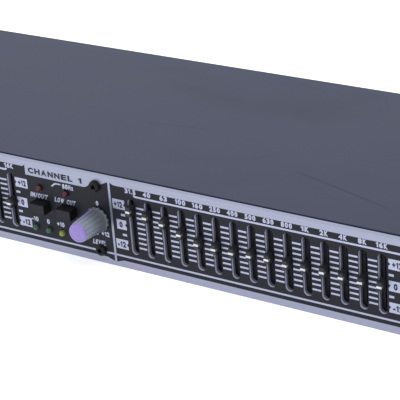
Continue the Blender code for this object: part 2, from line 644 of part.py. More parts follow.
def main():
    """Clear the scene, then make every piece with its material."""
    for item in list(bpy.data.objects):
        bpy.data.objects.remove(item)
    brushed = finish_material("brushed_panel", (0.62, 0.62, 0.70), 0.38, 0.8)
    paint = finish_material("blue_grey_paint", (0.085, 0.095, 0.125), 0.5, 0.2)
    black = finish_material("black_plastic", (0.025, 0.025, 0.03), 0.45, 0.0)
    grey = finish_material("grey_knob", (0.32, 0.33, 0.38), 0.5, 0.0)
    metal = finish_material("plated_metal", (0.55, 0.55, 0.56), 0.35, 1.0)
    board_green = finish_material("circuit_board", (0.03, 0.12, 0.05), 0.5, 0.0)
    iron = finish_material("laminated_iron", (0.2, 0.2, 0.22), 0.5, 0.9)
    copper = finish_material("winding_tape", (0.55, 0.4, 0.08), 0.5, 0.0)

    make_casing(paint, brushed)
    make_slider_boards(board_green)
    make_sliders(black)
    make_level_controls(grey, metal)
    make_buttons(black, board_green)
    make_led_guides(black)
    make_power_switch(black)
    make_mains_inlet(black)
    make_transformer(iron, copper)
    make_xlr_sockets(black)
    make_jack_pairs(black)
    make_main_board(board_green)


if __name__ == "__main__":
    main()
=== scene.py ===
"""Looks of a one-unit graphic equalizer with two channels of fifteen slide controls.

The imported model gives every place: each piece here is modelled around the solid that it
dresses or replaces. Lengths are in metres, X runs along the front panel, Y from the front
to the back and Z up. A channel's printing is placed from that channel's left edge.
"""
import json
import math
import random

import bmesh
import bpy
from bpy.props import FloatProperty, FloatVectorProperty, IntProperty, PointerProperty
from mathutils import Matrix, Quaternion, Vector


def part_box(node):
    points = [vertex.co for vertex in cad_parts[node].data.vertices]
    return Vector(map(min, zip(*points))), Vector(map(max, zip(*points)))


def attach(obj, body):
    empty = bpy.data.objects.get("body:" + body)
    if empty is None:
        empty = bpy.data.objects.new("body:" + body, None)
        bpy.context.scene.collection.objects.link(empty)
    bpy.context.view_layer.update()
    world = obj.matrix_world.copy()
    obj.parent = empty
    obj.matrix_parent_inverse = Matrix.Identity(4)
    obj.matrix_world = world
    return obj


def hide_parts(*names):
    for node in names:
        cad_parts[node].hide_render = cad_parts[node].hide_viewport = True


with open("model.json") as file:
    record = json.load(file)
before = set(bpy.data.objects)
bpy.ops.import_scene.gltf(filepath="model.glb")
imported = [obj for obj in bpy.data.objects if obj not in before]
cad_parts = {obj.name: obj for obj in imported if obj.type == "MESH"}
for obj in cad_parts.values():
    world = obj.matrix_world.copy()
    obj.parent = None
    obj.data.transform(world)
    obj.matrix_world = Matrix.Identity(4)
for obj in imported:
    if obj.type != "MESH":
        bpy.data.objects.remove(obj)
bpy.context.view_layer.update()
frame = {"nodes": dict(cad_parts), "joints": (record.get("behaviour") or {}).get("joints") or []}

bl_info = {
    "name": "Graphic Equalizer",
    "version": (1, 0, 0),
    "blender": (4, 5, 0),
    "location": "View3D > Sidebar > Equalizer",
    "description": "Builds the shells, controls, printing and sockets of a rack graphic equalizer",
    "category": "Object",
}

MM = 0.001


# ---------------------------------------------------------------- places taken from the model

def middle(node):
    """The centre of a solid's box."""
    low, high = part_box(node)
    return (low + high) / 2


BANDS = ("31_5", "40", "63", "100", "160", "250", "400", "500", "630", "800",
         "1k", "2k", "4k", "8k", "16k")
CHANNELS = (1, 2)
PANEL_LOW, PANEL_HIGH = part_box("front_panel")
FRONT, PANEL_BACK = PANEL_LOW.y, PANEL_HIGH.y
MIDDLE_Z = (PANEL_LOW.z + PANEL_HIGH.z) / 2
REAR_LOW, REAR_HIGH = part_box("rear_panel")
REAR = REAR_HIGH.y
COVER_LOW, COVER_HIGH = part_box("top_cover")
BAND_X = {ch: [middle(f"slider_ch{ch}_{band}").x for band in BANDS] for ch in CHANNELS}
CHANNEL_WIDTH = BAND_X[2][0] - BAND_X[1][0]
FIRST_BAND = BAND_X[2][0]                       # the divider between the channels is at X zero
LEFT = {ch: BAND_X[ch][0] - FIRST_BAND for ch in CHANNELS}
JOINTS = {joint["child"]: joint for joint in frame["joints"]}
KNOB = {ch: Vector(JOINTS[f"level_knob_ch{ch}"]["pos_m"]) for ch in CHANNELS}
BUTTONS = ("in_out_button", "low_cut_button")
METER_LIGHTS = (148.8 * MM, 156.5 * MM, 164.2 * MM)
STATUS_LIGHTS = (153.5 * MM, 168.7 * MM)
METER_Z = 10.6 * MM
STATUS_Z = 31.6 * MM
LIGHT_RADIUS = 1.5 * MM
LIGHT_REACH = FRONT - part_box("led_guide_ch1")[0].y
KNOB_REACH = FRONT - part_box("level_knob_ch1")[0].y
CLEARANCE = 0.3 * MM
SLOT_HALF_WIDTH = 1.9 * MM
SLOT_HALF_LENGTH = 13.8 * MM
SCREW_ABOVE, SCREW_BELOW = 16.8 * MM, -15.4 * MM        # from the panel's middle


# ---------------------------------------------------------------- settings

def colour_setting(name, description, default):
    return FloatVectorProperty(name=name, description=description, subtype="COLOR", default=default)


def number_setting(name, description, default, least, **more):
    return FloatProperty(name=name, description=description, default=default, min=least, **more)


def place_setting(name, description, default):
    return FloatVectorProperty(name=name, description=description, subtype="TRANSLATION",
                               default=default)


class EqualizerLook(bpy.types.PropertyGroup):
    """Colours and small sizes of the equalizer's finishes."""

    metal: colour_setting("Panel metal", "Colour of the brushed front panel", (0.31, 0.325, 0.43))
    ink: colour_setting("Panel ink", "Colour of the dark printed area", (0.0085, 0.0098, 0.0155))
    cover: colour_setting("Cover paint", "Colour of the painted cover and tray",
                          (0.0305, 0.038, 0.0735))
    knob: colour_setting("Knob", "Colour of the ribbed level knobs", (0.19, 0.215, 0.265))
    knob_tip: colour_setting("Knob tip", "Colour of the insert in a knob's tip", (0.215, 0.158, 0.43))
    plastic: colour_setting("Black plastic", "Colour of caps, buttons and sockets",
                            (0.012, 0.0125, 0.0145))
    red: colour_setting("Red light", "Colour of a status light", (0.032, 0.005, 0.009))
    green: colour_setting("Green light", "Colour of a low meter light", (0.017, 0.05, 0.032))
    yellow: colour_setting("Yellow light", "Colour of the top meter light", (0.125, 0.145, 0.03))
    print_depth: number_setting("Print depth", "Thickness of a layer of printing", 0.00002, 0.000005,
                                unit="LENGTH")
    sheet_radius: number_setting("Bend radius", "Outer radius of the cover's folds", 0.0016, 0.0002,
                                 unit="LENGTH")


class EqualizerStage(bpy.types.PropertyGroup):
    """The camera, the floor and the light."""

    place: place_setting("Camera place", "Where the camera stands", (0.4074, -0.5795, 0.3367))
    aim: place_setting("Camera aim", "The point that the camera looks at", (0.04898, -0.0639, 0.04282))
    roll: FloatProperty(name="Camera roll", description="Turn of the camera about its own axis",
                        subtype="ANGLE", default=math.radians(-4.45))
    lens: number_setting("Focal length", "Focal length for a 36 mm wide sensor, in mm", 145.18, 10)
    sky: number_setting("Sky strength", "Strength of the white surroundings", 1.0, 0)
    floor_glow: number_setting("Floor glow", "How much the floor's shadows are lifted", 0.3, 0)
    key: number_setting("Key light", "Power of the large soft light, in watts", 9.0, 0)


# ---------------------------------------------------------------- material maths

class Value:
    """A socket of a material's node that can stand in a Python expression."""

    def __init__(self, finish, socket):
        self.finish, self.socket = finish, socket

    def math(self, operation, *others):
        return self.finish.add("ShaderNodeMath", {"operation": operation},
                               dict(enumerate((self, *others))))

    def __add__(self, other):
        return self.math("ADD", other)

    def __sub__(self, other):
        return self.math("SUBTRACT", other)

    def __rsub__(self, other):
        return (self * -1.0) + other

    def __mul__(self, other):
        return self.math("MULTIPLY", other)

    def __lt__(self, other):
        return self.math("LESS_THAN", other)

    def __gt__(self, other):
        return self.math("GREATER_THAN", other)

    def __abs__(self):
        return self.math("ABSOLUTE")

    __radd__ = __add__
    __rmul__ = __mul__

    def between(self, low, high):
        """0 below low, 1 above high and a smooth step from one to the other."""
        return self.finish.add("ShaderNodeMapRange", {"interpolation_type": "SMOOTHSTEP"},
                               {"Value": self, "From Min": low, "From Max": high})


class Finish:
    """A procedural material: a Principled shader and the nodes that vary it."""

    def __init__(self, name, colour, roughness, metallic=0.0, **constants):
        self.material = bpy.data.materials.new(name)
        self.material.use_nodes = True
        self.nodes = self.material.node_tree.nodes
        self.links = self.material.node_tree.links
        self.shader = self.nodes["Principled BSDF"]
        self.set("Base Color", (*colour, 1.0))
        self.set("Roughness", roughness)
        self.set("Metallic", metallic)
        for socket, value in constants.items():
            self.set(socket.replace("_", " "), value)
        self.place = self.add("ShaderNodeTexCoord", output="Object")

    def add(self, kind, settings=None, inputs=None, output=0):
        """Add a node of any type: its settings first, then the values or links of its sockets."""
        node = self.nodes.new(kind)
        for name, value in (settings or {}).items():
            if name == "stops":
                ramp = node.color_ramp.elements
                for index, (position, colour) in enumerate(value):
                    stop = ramp[index] if index < len(ramp) else ramp.new(position)
                    stop.position, stop.color = position, (*colour, 1.0)
            else:
                setattr(node, name, value)
        for key, value in (inputs or {}).items():
            self.feed(node.inputs[key], value)
        return Value(self, node.outputs[output])

    def feed(self, socket, value):
        if isinstance(value, Value):
            self.links.new(value.socket, socket)
        else:
            socket.default_value = value

    def set(self, socket, value):
        self.feed(self.shader.inputs[socket], value)

    def stretched(self, scale):
        """The object's coordinates, scaled by a different number along each axis."""
        return self.add("ShaderNodeMapping", inputs={"Vector": self.place, "Scale": scale})

    def axis(self, name):
        return self.add("ShaderNodeSeparateXYZ", inputs={0: self.place}, output=name)

    def noise(self, scale, detail=3.0, stretch=None, roughness=0.55):
        vector = self.stretched(stretch) if stretch else self.place
        return self.add("ShaderNodeTexNoise", inputs={"Vector": vector, "Scale": scale, "Detail": detail,
                                                      "Roughness": roughness})

    def mix(self, factor, first, second):
        """A colour between two colours, each a link or three numbers."""
        shades = {6: first if isinstance(first, Value) else (*first, 1.0),
                  7: second if isinstance(second, Value) else (*second, 1.0)}
        return self.add("ShaderNodeMix", {"data_type": "RGBA"}, {0: factor, **shades}, output=2)

    def bump(self, height, distance, strength=1.0):
        self.set("Normal", self.add("ShaderNodeBump", inputs={"Strength": strength, "Distance": distance,
                                                              "Height": height}))


def shade(colour, factor):
    """The same colour, lighter or darker."""
    return tuple(min(1.0, part * factor) for part in colour)


def look():
    return bpy.context.scene.equalizer_look


# ---------------------------------------------------------------- materials

def moulded(name, colour, roughness, grain=0.012, **constants):
    """Moulded plastic: fine spark-eroded grain, slightly uneven gloss and colour."""
    finish = Finish(name, colour, roughness, **constants)
    cloud = finish.noise(260.0, 2.0)
    grit = finish.noise(6500.0, 2.0)
    finish.set("Base Color", finish.mix(cloud, shade(colour, 0.8), shade(colour, 1.25)))
    finish.set("Roughness", cloud * 0.16 + grit * 0.08 + (roughness - 0.12))
    finish.bump(grit, grain * MM, 0.6)
    return finish.material


def knob_plastic(name, colour):
    """Soft grey plastic, painted lighter at the tip and darker towards the skirt: painted light and painted
    shade.
    """
    finish = Finish(name, colour, 0.5, Specular_IOR_Level=0.4)
    depth = (finish.axis("Y") - FRONT) * (1.0 / KNOB_REACH)
    # Painted light and shade: the colour goes from a lighter copy at the tip to a darker copy towards the
    # skirt
    painted_shade_to_skirt = depth.between(-0.25, -0.85)
    cloud = finish.noise(420.0, 3.0)
    grit = finish.noise(6500.0, 2.0)
    finish.set("Base Color", finish.mix(painted_shade_to_skirt * 0.75 + cloud * 0.25, shade(colour, 0.36), shade(colour, 1.3)))
    finish.set("Roughness", cloud * 0.15 + grit * 0.1 + 0.38)
    finish.bump(grit, 0.015 * MM, 0.6)
    return finish.material


def brushed_metal(name, colour, roughness=0.34, depth=0.006):
    """Aluminium brushed along the panel: hairlines on its faces; in the openings, painted highlight on the
    walls near the front and painted shade deeper in.
    """
    finish = Finish(name, colour, roughness)
    facing = finish.add("ShaderNodeSeparateXYZ", inputs={0: finish.add("ShaderNodeNewGeometry",
                                                                       output="Normal")}, output="Y")
    face = abs(facing).between(0.5, 0.9)
    finish.set("Metallic", face * 0.5 + 0.3)
    hair = finish.noise(1.0, 4.0, stretch=(14.0, 2600.0, 5200.0))
    broad = finish.noise(1.0, 3.0, stretch=(4.0, 160.0, 420.0))
    streak = hair.between(0.60, 0.80)
    tone = finish.mix(broad, shade(colour, 0.86), shade(colour, 1.10))
    bright = finish.mix(streak * 0.45, tone, shade(colour, 1.35))
    # Painted shade: the walls of the openings turn darker from 0.75 mm behind the panel's front
    painted_shade_inside = (finish.axis("Y") - FRONT).between(0.75 * MM, 1.1 * MM)
    opening = (abs(finish.axis("Z") - MIDDLE_Z) < 15.0 * MM) * (abs(finish.axis("X")) < 200.0 * MM)
    # Painted highlight: the cut walls of the openings, which do not face the front, get a lighter copy of the
    # metal
    rim = finish.mix(opening * (1.0 - face), bright, shade(colour, 1.6))
    finish.set("Base Color", finish.mix(painted_shade_inside * opening * 0.95, rim, shade(colour, 0.42)))
    finish.set("Roughness", hair * 0.14 + broad * 0.10 + (roughness + 0.1) - face * 0.2)
    finish.bump(hair, depth * MM, 0.5)
    return finish.material


def printed_ink(name, colour, roughness=0.5):
    """Screen-printed ink: the mesh's faint texture and slightly uneven cover."""
    finish = Finish(name, colour, roughness, Specular_IOR_Level=0.2)
    cloud = finish.noise(70.0, 3.0)
    grain = finish.noise(5200.0, 2.0)
    finish.set("Base Color", finish.mix(cloud * 0.6 + grain * 0.4, shade(colour, 0.72), shade(colour, 1.3)))
    finish.set("Roughness", grain * 0.2 + (roughness - 0.1))
    finish.bump(grain, 0.006 * MM, 0.5)
    return finish.material


# Rubbed marks on the cover, in mm and degrees: middle in X and Y, turn, half length, half width
RUBS = ((100.0, -31.0, -17.7, 34.0, 0.75), (-5.0, 0.0, 8.9, 20.0, 0.5), (52.0, -14.0, 55.0, 8.0, 0.5))


def rubbed(finish, x, y, turn, half_length, half_width):
    """1 along one mark, fading out towards its sides and ends."""
    cos, sin = math.cos(math.radians(turn)), math.sin(math.radians(turn))
    right, back = finish.axis("X") - x * MM, finish.axis("Y") - y * MM
    along, across = right * cos + back * sin, back * cos - right * sin
    line = abs(across).between(half_width * MM, 0.3 * half_width * MM)
    return line * abs(along).between(half_length * MM, 0.6 * half_length * MM)


def powder_coat(name, colour, roughness=0.5, wear=1.0, rubs=()):
    """Satin powder coat: orange peel, faint handling marks, hairline scuffs and rubbed marks."""
    finish = Finish(name, colour, roughness, Specular_IOR_Level=0.3)
    peel = finish.noise(1900.0, 2.0)
    cloud = finish.noise(16.0, 4.0)
    smudge = finish.noise(1.0, 3.0, stretch=(9.0, 21.0, 9.0)).between(0.52, 0.74)
    scuff_a = finish.noise(1.0, 2.0, stretch=(900.0, 22.0, 30.0)).between(0.735, 0.80)
    scuff_b = finish.noise(1.0, 2.0, stretch=(30.0, 760.0, 30.0)).between(0.74, 0.80)
    patch = finish.noise(24.0, 2.0).between(0.52, 0.72)
    scuffs = (scuff_a + scuff_b) * patch * wear
    body = finish.mix(cloud, shade(colour, 0.9), shade(colour, 1.12))
    dull = finish.mix(smudge * 0.55, body, shade(colour, 0.7))
    for rub in rubs:
        dull = finish.mix(rubbed(finish, *rub) * (cloud * 0.5 + 0.35), dull, shade(colour, 0.25))
    finish.set("Base Color", finish.mix(scuffs * 0.4, dull, shade(colour, 2.4)))
    finish.set("Roughness", cloud * 0.10 + peel * 0.08 + (roughness - 0.08) + scuffs * 0.1)
    finish.bump(peel - scuffs * 0.4, 0.02 * MM, 0.45)
    return finish.material


def plated(name, colour, roughness=0.25):
    """Plated or polished metal with fine handling marks."""
    finish = Finish(name, colour, roughness, metallic=1.0)
    marks = finish.noise(900.0, 4.0, stretch=(1.0, 3.0, 1.0))
    cloud = finish.noise(120.0, 2.0)
    finish.set("Base Color", finish.mix(cloud, shade(colour, 0.85), shade(colour, 1.1)))
    finish.set("Roughness", marks * 0.2 + (roughness - 0.08))
    finish.bump(marks, 0.005 * MM, 0.4)
    return finish.material


def lens(name, colour):
    """Tinted epoxy of a light: a darker rim, a paler middle and a glossy surface."""
    finish = Finish(name, colour, 0.25, Specular_IOR_Level=0.35, Subsurface_Weight=0.15,
                    Subsurface_Scale=0.001)
    depth = (finish.axis("Y") - FRONT) * (1.0 / LIGHT_REACH)
    tip = depth.between(0.2, -1.0)
    cloud = finish.noise(900.0, 2.0)
    finish.set("Base Color", finish.mix(tip * 0.8 + cloud * 0.2, shade(colour, 0.7), shade(colour, 1.7)))
    finish.set("Roughness", cloud * 0.1 + 0.17)
    return finish.material


def circuit_board(name, board_front=None):
    """Green solder mask with copper tracks; in front of board_front the parts fitted to it are dark."""
    green, track, part = (0.012, 0.07, 0.03), (0.03, 0.16, 0.06), (0.03, 0.031, 0.036)
    finish = Finish(name, green, 0.4)
    cells = finish.add("ShaderNodeTexVoronoi", {"feature": "DISTANCE_TO_EDGE"},
                       {"Vector": finish.place, "Scale": 240.0})
    tone = finish.mix(cells < 0.06, green, track)
    if board_front is not None:
        tone = finish.mix(finish.axis("Y") < board_front, tone, part)
    finish.set("Base Color", tone)
    finish.set("Roughness", finish.noise(800.0) * 0.2 + 0.32)
    finish.bump(cells < 0.06, 0.03 * MM, 0.5)
    return finish.material


def laminated(name):
    """A stack of thin varnished iron sheets, one every half millimetre from front to back."""
    finish = Finish(name, (0.16, 0.15, 0.15), 0.42, metallic=0.8)
    edge = finish.axis("Y").math("PINGPONG", 0.25 * MM) * 4000.0
    finish.set("Base Color", finish.mix(edge, (0.05, 0.045, 0.04), (0.24, 0.23, 0.23)))
    finish.set("Roughness", finish.noise(500.0) * 0.3 + 0.3)
    finish.bump(edge, 0.05 * MM, 0.7)
    return finish.material


def winding_tape(name):
    """Yellow polyester tape round a winding, in overlapping turns."""
    finish = Finish(name, (0.6, 0.42, 0.05), 0.3)
    edge = (finish.axis("Z").math("PINGPONG", 2.0 * MM) * 500.0).between(0.85, 1.0)
    finish.set("Base Color", finish.mix(edge, (0.6, 0.42, 0.05), (0.35, 0.22, 0.02)))
    finish.set("Roughness", finish.noise(300.0) * 0.2 + 0.22)
    finish.bump(edge, 0.05 * MM, 0.6)
    return finish.material


def make_finishes():
    """Every material that the pieces share, by name."""
    colours = look()
    return {
        "metal": brushed_metal("brushed_panel", colours.metal),
        "ink": printed_ink("panel_ink", colours.ink),
        "silver_print": brushed_metal("silver_print", shade(colours.metal, 1.3), 0.42, 0.003),
        "dark_print": printed_ink("dark_print", (0.014, 0.015, 0.024)),
        "cover": powder_coat("cover_paint", colours.cover, rubs=RUBS),
        "tray": powder_coat("tray_paint", shade(colours.cover, 0.8), 0.55, 0.5),
        "plastic": moulded("black_plastic", colours.plastic, 0.46, Specular_IOR_Level=0.4),
        # Buttons: a lighter plastic for the front faces and a darker copy for the other faces, which is
        # painted shade
        "button": moulded("button_plastic", (0.010, 0.012, 0.018), 0.5, Specular_IOR_Level=0.2),
        "button_painted_shade": moulded("button_painted_shade", (0.004, 0.004, 0.005), 0.6, Specular_IOR_Level=0.12),
        "glossy": moulded("glossy_plastic", colours.plastic, 0.24, grain=0.004),
        "index": moulded("index_line", (0.55, 0.56, 0.62), 0.5),
        # A darker copy of the index line for the slider caps' sides: painted shade
        "index_painted_shade": moulded("index_line_painted_shade", (0.13, 0.132, 0.14), 0.55),
        "knob": knob_plastic("knob_plastic", colours.knob),
        "tip": moulded("knob_tip", colours.knob_tip, 0.38, grain=0.006),
        "red": lens("red_lens", colours.red),
        "green": lens("green_lens", colours.green),
        "yellow": lens("yellow_lens", colours.yellow),
        "screw": moulded("black_screw", (0.007, 0.007, 0.008), 0.32, grain=0.003,
                         Specular_IOR_Level=0.16),
        "nickel": plated("nickel", (0.62, 0.61, 0.60), 0.24),
        "main_board": circuit_board("main_board_mask"),
        "iron": laminated("laminated_iron"),
        "tape": winding_tape("winding_tape"),
    }


FINISH = {}


# ---------------------------------------------------------------- outlines in X and Z

def circle(x, z, radius, sides=40):
    angles = [math.tau * (i + 0.5) / sides for i in range(sides)]
    return [(x + radius * math.cos(a), z + radius * math.sin(a)) for a in angles]


def rounded(x, z, half_width, half_height, radius, sides=5):
    """A rectangle with round corners."""
    points = []
    for corner, (across, up) in enumerate(((1, 1), (-1, 1), (-1, -1), (1, -1))):
        for i in range(sides + 1):
            turn = math.pi / 2 * (corner + i / sides)
            points.append((x + across * (half_width - radius) + radius * math.cos(turn),
                           z + up * (half_height - radius) + radius * math.sin(turn)))
    return points


def round_node(node, radius, room=0.0):
    """The box of a solid seen from the front, with round corners and room about it."""
    low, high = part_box(node)
    return rounded((low.x + high.x) / 2, (low.z + high.z) / 2, (high.x - low.x) / 2 + room,
                   (high.z - low.z) / 2 + room, radius)


def upright_slot(x, z, half_length, radius):
    return rounded(x, z, radius, half_length, radius * 0.999, 8)


def box_outline(x0, x1, z0, z1):
    return [(x0, z0), (x1, z0), (x1, z1), (x0, z1)]


def mm(*points):
    """Points of an outline or a profile, given in millimetres."""
    return [(u * MM, v * MM) for u, v in points]


# ---------------------------------------------------------------- solids

def put(name, data):
    """A new object of the scene."""
    made = bpy.data.objects.new(name, data)
    bpy.context.scene.collection.objects.link(made)
    return made


def as_mesh(name, shape):
    """The mesh of a finished shape."""
    mesh = bpy.data.meshes.new(name)
    shape.to_mesh(mesh)
    shape.free()
    return mesh


def flat_curve(outlines):
    """A filled curve through the corners of each outline."""
    curve = bpy.data.curves.new("outline", "CURVE")
    curve.dimensions = "2D"
    curve.fill_mode = "BOTH"
    for outline in outlines:
        spline = curve.splines.new("POLY")
        spline.points.add(len(outline) - 1)
        for point, (u, v) in zip(spline.points, outline):
            point.co = (u, v, 0.0, 1.0)
        spline.use_cyclic_u = True
    return curve


def curve_mesh(curve):
    """A curve or text as a mesh, before it gets its place."""
    holder = put("holder", curve)
    mesh = bpy.data.meshes.new_from_object(holder.evaluated_get(bpy.context.evaluated_depsgraph_get()))
    bpy.data.objects.remove(holder)
    bpy.data.curves.remove(curve)
    return mesh


def add_mesh(shape, mesh, matrix, paint=0):
    """Join a mesh to a shape in its place, merged into one closed skin that faces out."""
    mesh.transform(matrix)
    part = bmesh.new()
    part.from_mesh(mesh)
    bpy.data.meshes.remove(mesh)
    bmesh.ops.remove_doubles(part, verts=part.verts, dist=0.0005 * MM)
    bmesh.ops.recalc_face_normals(part, faces=part.faces)
    for face in part.faces:
        face.material_index = paint
    joined = as_mesh("joined", part)
    shape.from_mesh(joined)
    bpy.data.meshes.remove(joined)
    return shape


def sheet(shape, outlines, front, back, edge=0.0, paint=0):
    """A flat sheet across Y, with bevelled edges. An outline inside another one is a hole."""
    curve = flat_curve(outlines)
    curve.extrude = (back - front) / 2 - edge
    curve.bevel_depth = edge
    curve.bevel_resolution = 1
    curve.offset = -edge
    upright = Matrix.Translation((0, (front + back) / 2, 0)) @ Matrix.Rotation(math.pi / 2, 4, "X")
    return add_mesh(shape, curve_mesh(curve), upright, paint)


CELLS = {"1": 0.5, ".": 0.26, "-": 0.55, "/": 0.5, "I": 0.26, " ": 0.55, "W": 1.15, "z": 0.7, "L": 0.72}
USUAL_CELL, CELL_GAP = 0.84, 0.17               # of a capital's height
ONE = [(0.28, 0), (0.58, 0), (0.58, 1), (0.36, 1), (0.08, 0.82), (0.08, 0.60), (0.28, 0.70)]
CAPITAL_HEIGHT = 0.72                           # of the plain typeface at size 1
GLYPHS = {}


def glyph(mark):
    """One character as a flat solid one deep, on its baseline, centred and one wide."""
    if mark not in GLYPHS:
        if mark == "1":
            curve = flat_curve([[(x, y * CAPITAL_HEIGHT) for x, y in ONE]])
        else:
            curve = bpy.data.curves.new("text", "FONT")
            curve.body = mark
            curve.offset = 0.055
            curve.resolution_u = 3
        curve.extrude = 0.5
        mesh = curve_mesh(curve)
        across = [vertex.co.x for vertex in mesh.vertices]
        low, high = min(across), max(across)
        mesh.transform(Matrix.Diagonal((1 / (high - low), 1 / CAPITAL_HEIGHT, 1.0, 1.0))
                       @ Matrix.Translation((-(low + high) / 2, 0, 0)))
        GLYPHS[mark] = mesh
    return GLYPHS[mark].copy()


def lettering(shape, text, x, z, width, height, front, slant=0.0, paint=0):
    """Wide upright lettering on the panel, fitted to a width and a height about its middle."""
    cells = [CELLS.get(mark, USUAL_CELL) for mark in text]
    unit = width / (sum(cells) + CELL_GAP * (len(cells) - 1))
    depth = look().print_depth
    cursor = x - width / 2
    for mark, cell in zip(text, cells):
        if mark != " ":
            place = Matrix.Translation((cursor + cell * unit / 2, front - depth / 2, z - height / 2))
            size = Matrix.Diagonal((cell * unit, height, depth, 1.0))
            upright = Matrix.Rotation(math.pi / 2, 4, "X")
            skew = Matrix(((1, 0, slant, 0), (0, 1, 0, 0), (0, 0, 1, 0), (0, 0, 0, 1)))
            add_mesh(shape, glyph(mark), place @ skew @ upright @ size, paint)
        cursor += (cell + CELL_GAP) * unit
    return shape


def added(shape, make, paint):
    """Run a builder on the shape, then paint and return the faces that it added."""
    before = set(shape.faces)
    make()
    faces = [face for face in shape.faces if face not in before]
    for face in faces:
        face.material_index = paint
    return faces


def corners(faces):
    """Each vertex of some faces once, in the order that they are met."""
    return list(dict.fromkeys(vertex for face in faces for vertex in face.verts))


def edges_at(verts):
    """Each edge at some vertices once, in the order that they are met."""
    return list(dict.fromkeys(edge for vertex in verts for edge in vertex.link_edges))


def bevel(shape, edges, width, segments):
    bmesh.ops.bevel(shape, geom=edges, offset=width, offset_type="OFFSET", segments=segments,
                    profile=0.5, affect="EDGES", material=-1)


def block(shape, low, high, edge=0.0, segments=2, paint=0):
    """A box between two corners with rounded edges."""
    low, high = Vector(low), Vector(high)

    def make():
        verts = bmesh.ops.create_cube(shape, size=1.0)["verts"]
        bmesh.ops.scale(shape, vec=high - low, verts=verts)
        bmesh.ops.translate(shape, vec=(low + high) / 2, verts=verts)
        if edge:
            bevel(shape, edges_at(verts), edge, segments)

    return added(shape, make, paint)


def turned(shape, profile, centre, steps=40, turn=None, paint=0):
    """Spin a profile of (radius, distance along Y) about the centre, then turn it if it faces elsewhere."""
    def make():
        points = [shape.verts.new((centre[0] + r, centre[1] + y, centre[2])) for r, y in profile]
        edges = [shape.edges.new(pair) for pair in zip(points, points[1:])]
        bmesh.ops.spin(shape, geom=points + edges, cent=centre, axis=(0, 1, 0), angle=math.tau,
                       steps=steps, use_merge=True)

    faces = added(shape, make, paint)
    verts = corners(faces)
    bmesh.ops.recalc_face_normals(shape, faces=faces)
    if turn is not None:
        bmesh.ops.rotate(shape, cent=centre, matrix=turn, verts=verts)
    bmesh.ops.remove_doubles(shape, verts=verts, dist=0.0005 * MM)
    on_axis = [edge for edge in shape.edges if not edge.link_faces]
    bmesh.ops.delete(shape, geom=on_axis, context="EDGES")
    return shape


def arc(centre, radius, start, end, steps=4):
    """Points of a profile's round corner, from one angle to another in degrees."""
    angles = [math.radians(start + (end - start) * i / steps) for i in range(steps + 1)]
    return [(centre[0] + radius * math.cos(a), centre[1] + radius * math.sin(a)) for a in angles]


def piece(name, shape, finishes, body="root", stands_for=(), crease=32):
    """Make a shape a named piece that rides on a body, in place of the solids it stands for."""
    mesh = as_mesh(name, shape)
    for finish in finishes:
        mesh.materials.append(FINISH[finish])
    mesh.shade_smooth()
    mesh.set_sharp_from_angle(angle=math.radians(crease))
    made = put(name, mesh)
    even = made.modifiers.new("even_shading", "WEIGHTED_NORMAL")
    even.keep_sharp = True
    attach(made, body)
    if stands_for:
        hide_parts(*stands_for)
    return made


def repaint(node, finish):
    """Give a solid that keeps its own shape a better material."""
    mesh = frame["nodes"][node].data
    mesh.materials.clear()
    mesh.materials.append(finish)


# ---------------------------------------------------------------- stage

class EQUALIZER_OT_stage(bpy.types.Operator):
    """Make the pale floor, the soft light and the camera"""
    bl_idname = "equalizer.stage"
    bl_label = "Stage"

    def execute(self, context):
        stage = context.scene.equalizer_stage
        context.scene.view_settings.view_transform = "Standard"
        world = bpy.data.worlds.new("white_surroundings")
        world.use_nodes = True
        world.node_tree.nodes["Background"].inputs["Color"].default_value = (0.97, 0.98, 1.0, 1.0)
        world.node_tree.nodes["Background"].inputs["Strength"].default_value = stage.sky
        context.scene.world = world

        paper = Finish("floor_paper", (0.94, 0.94, 0.95), 0.7)
        fibre = paper.noise(40.0, 3.0)
        paper.set("Base Color", paper.mix(fibre, (0.95, 0.95, 0.96), (0.99, 0.99, 1.0)))
        paper.set("Emission Color", (1.0, 1.0, 1.0, 1.0))
        paper.set("Emission Strength", stage.floor_glow)
        shape = bmesh.new()
        bmesh.ops.create_grid(shape, x_segments=2, y_segments=2, size=6.0)
        bmesh.ops.translate(shape, vec=(0, 0, PANEL_LOW.z), verts=shape.verts)
        mesh = as_mesh("floor", shape)
        mesh.materials.append(paper.material)
        put("floor", mesh)

        for name, place, size, power in (("key", (0.9, -0.9, 1.5), 1.2, stage.key),
                                         ("fill", (-1.2, -0.8, 1.2), 1.6, stage.key * 0.5),
                                         ("back", (0.5, 0.35, 0.6), 0.5, stage.key * 0.045)):
            light = bpy.data.lights.new(name, "AREA")
            light.size = size
            light.energy = power
            lamp = put(name, light)
            lamp.location = place
            lamp.rotation_mode = "QUATERNION"
            lamp.rotation_quaternion = (-Vector(place)).to_track_quat("-Z", "Y")

        lens_data = bpy.data.cameras.new("camera")
        lens_data.lens = stage.lens
        lens_data.sensor_width = 36.0
        lens_data.clip_start, lens_data.clip_end = 0.05, 20.0
        camera = put("camera", lens_data)
        camera.location = stage.place
        camera.rotation_mode = "QUATERNION"
        towards = (Vector(stage.aim) - Vector(stage.place)).to_track_quat("-Z", "Y")
        camera.rotation_quaternion = towards @ Quaternion((0, 0, 1), stage.roll)
        context.scene.camera = camera
        return {"FINISHED"}


# ---------------------------------------------------------------- front panel and its printing

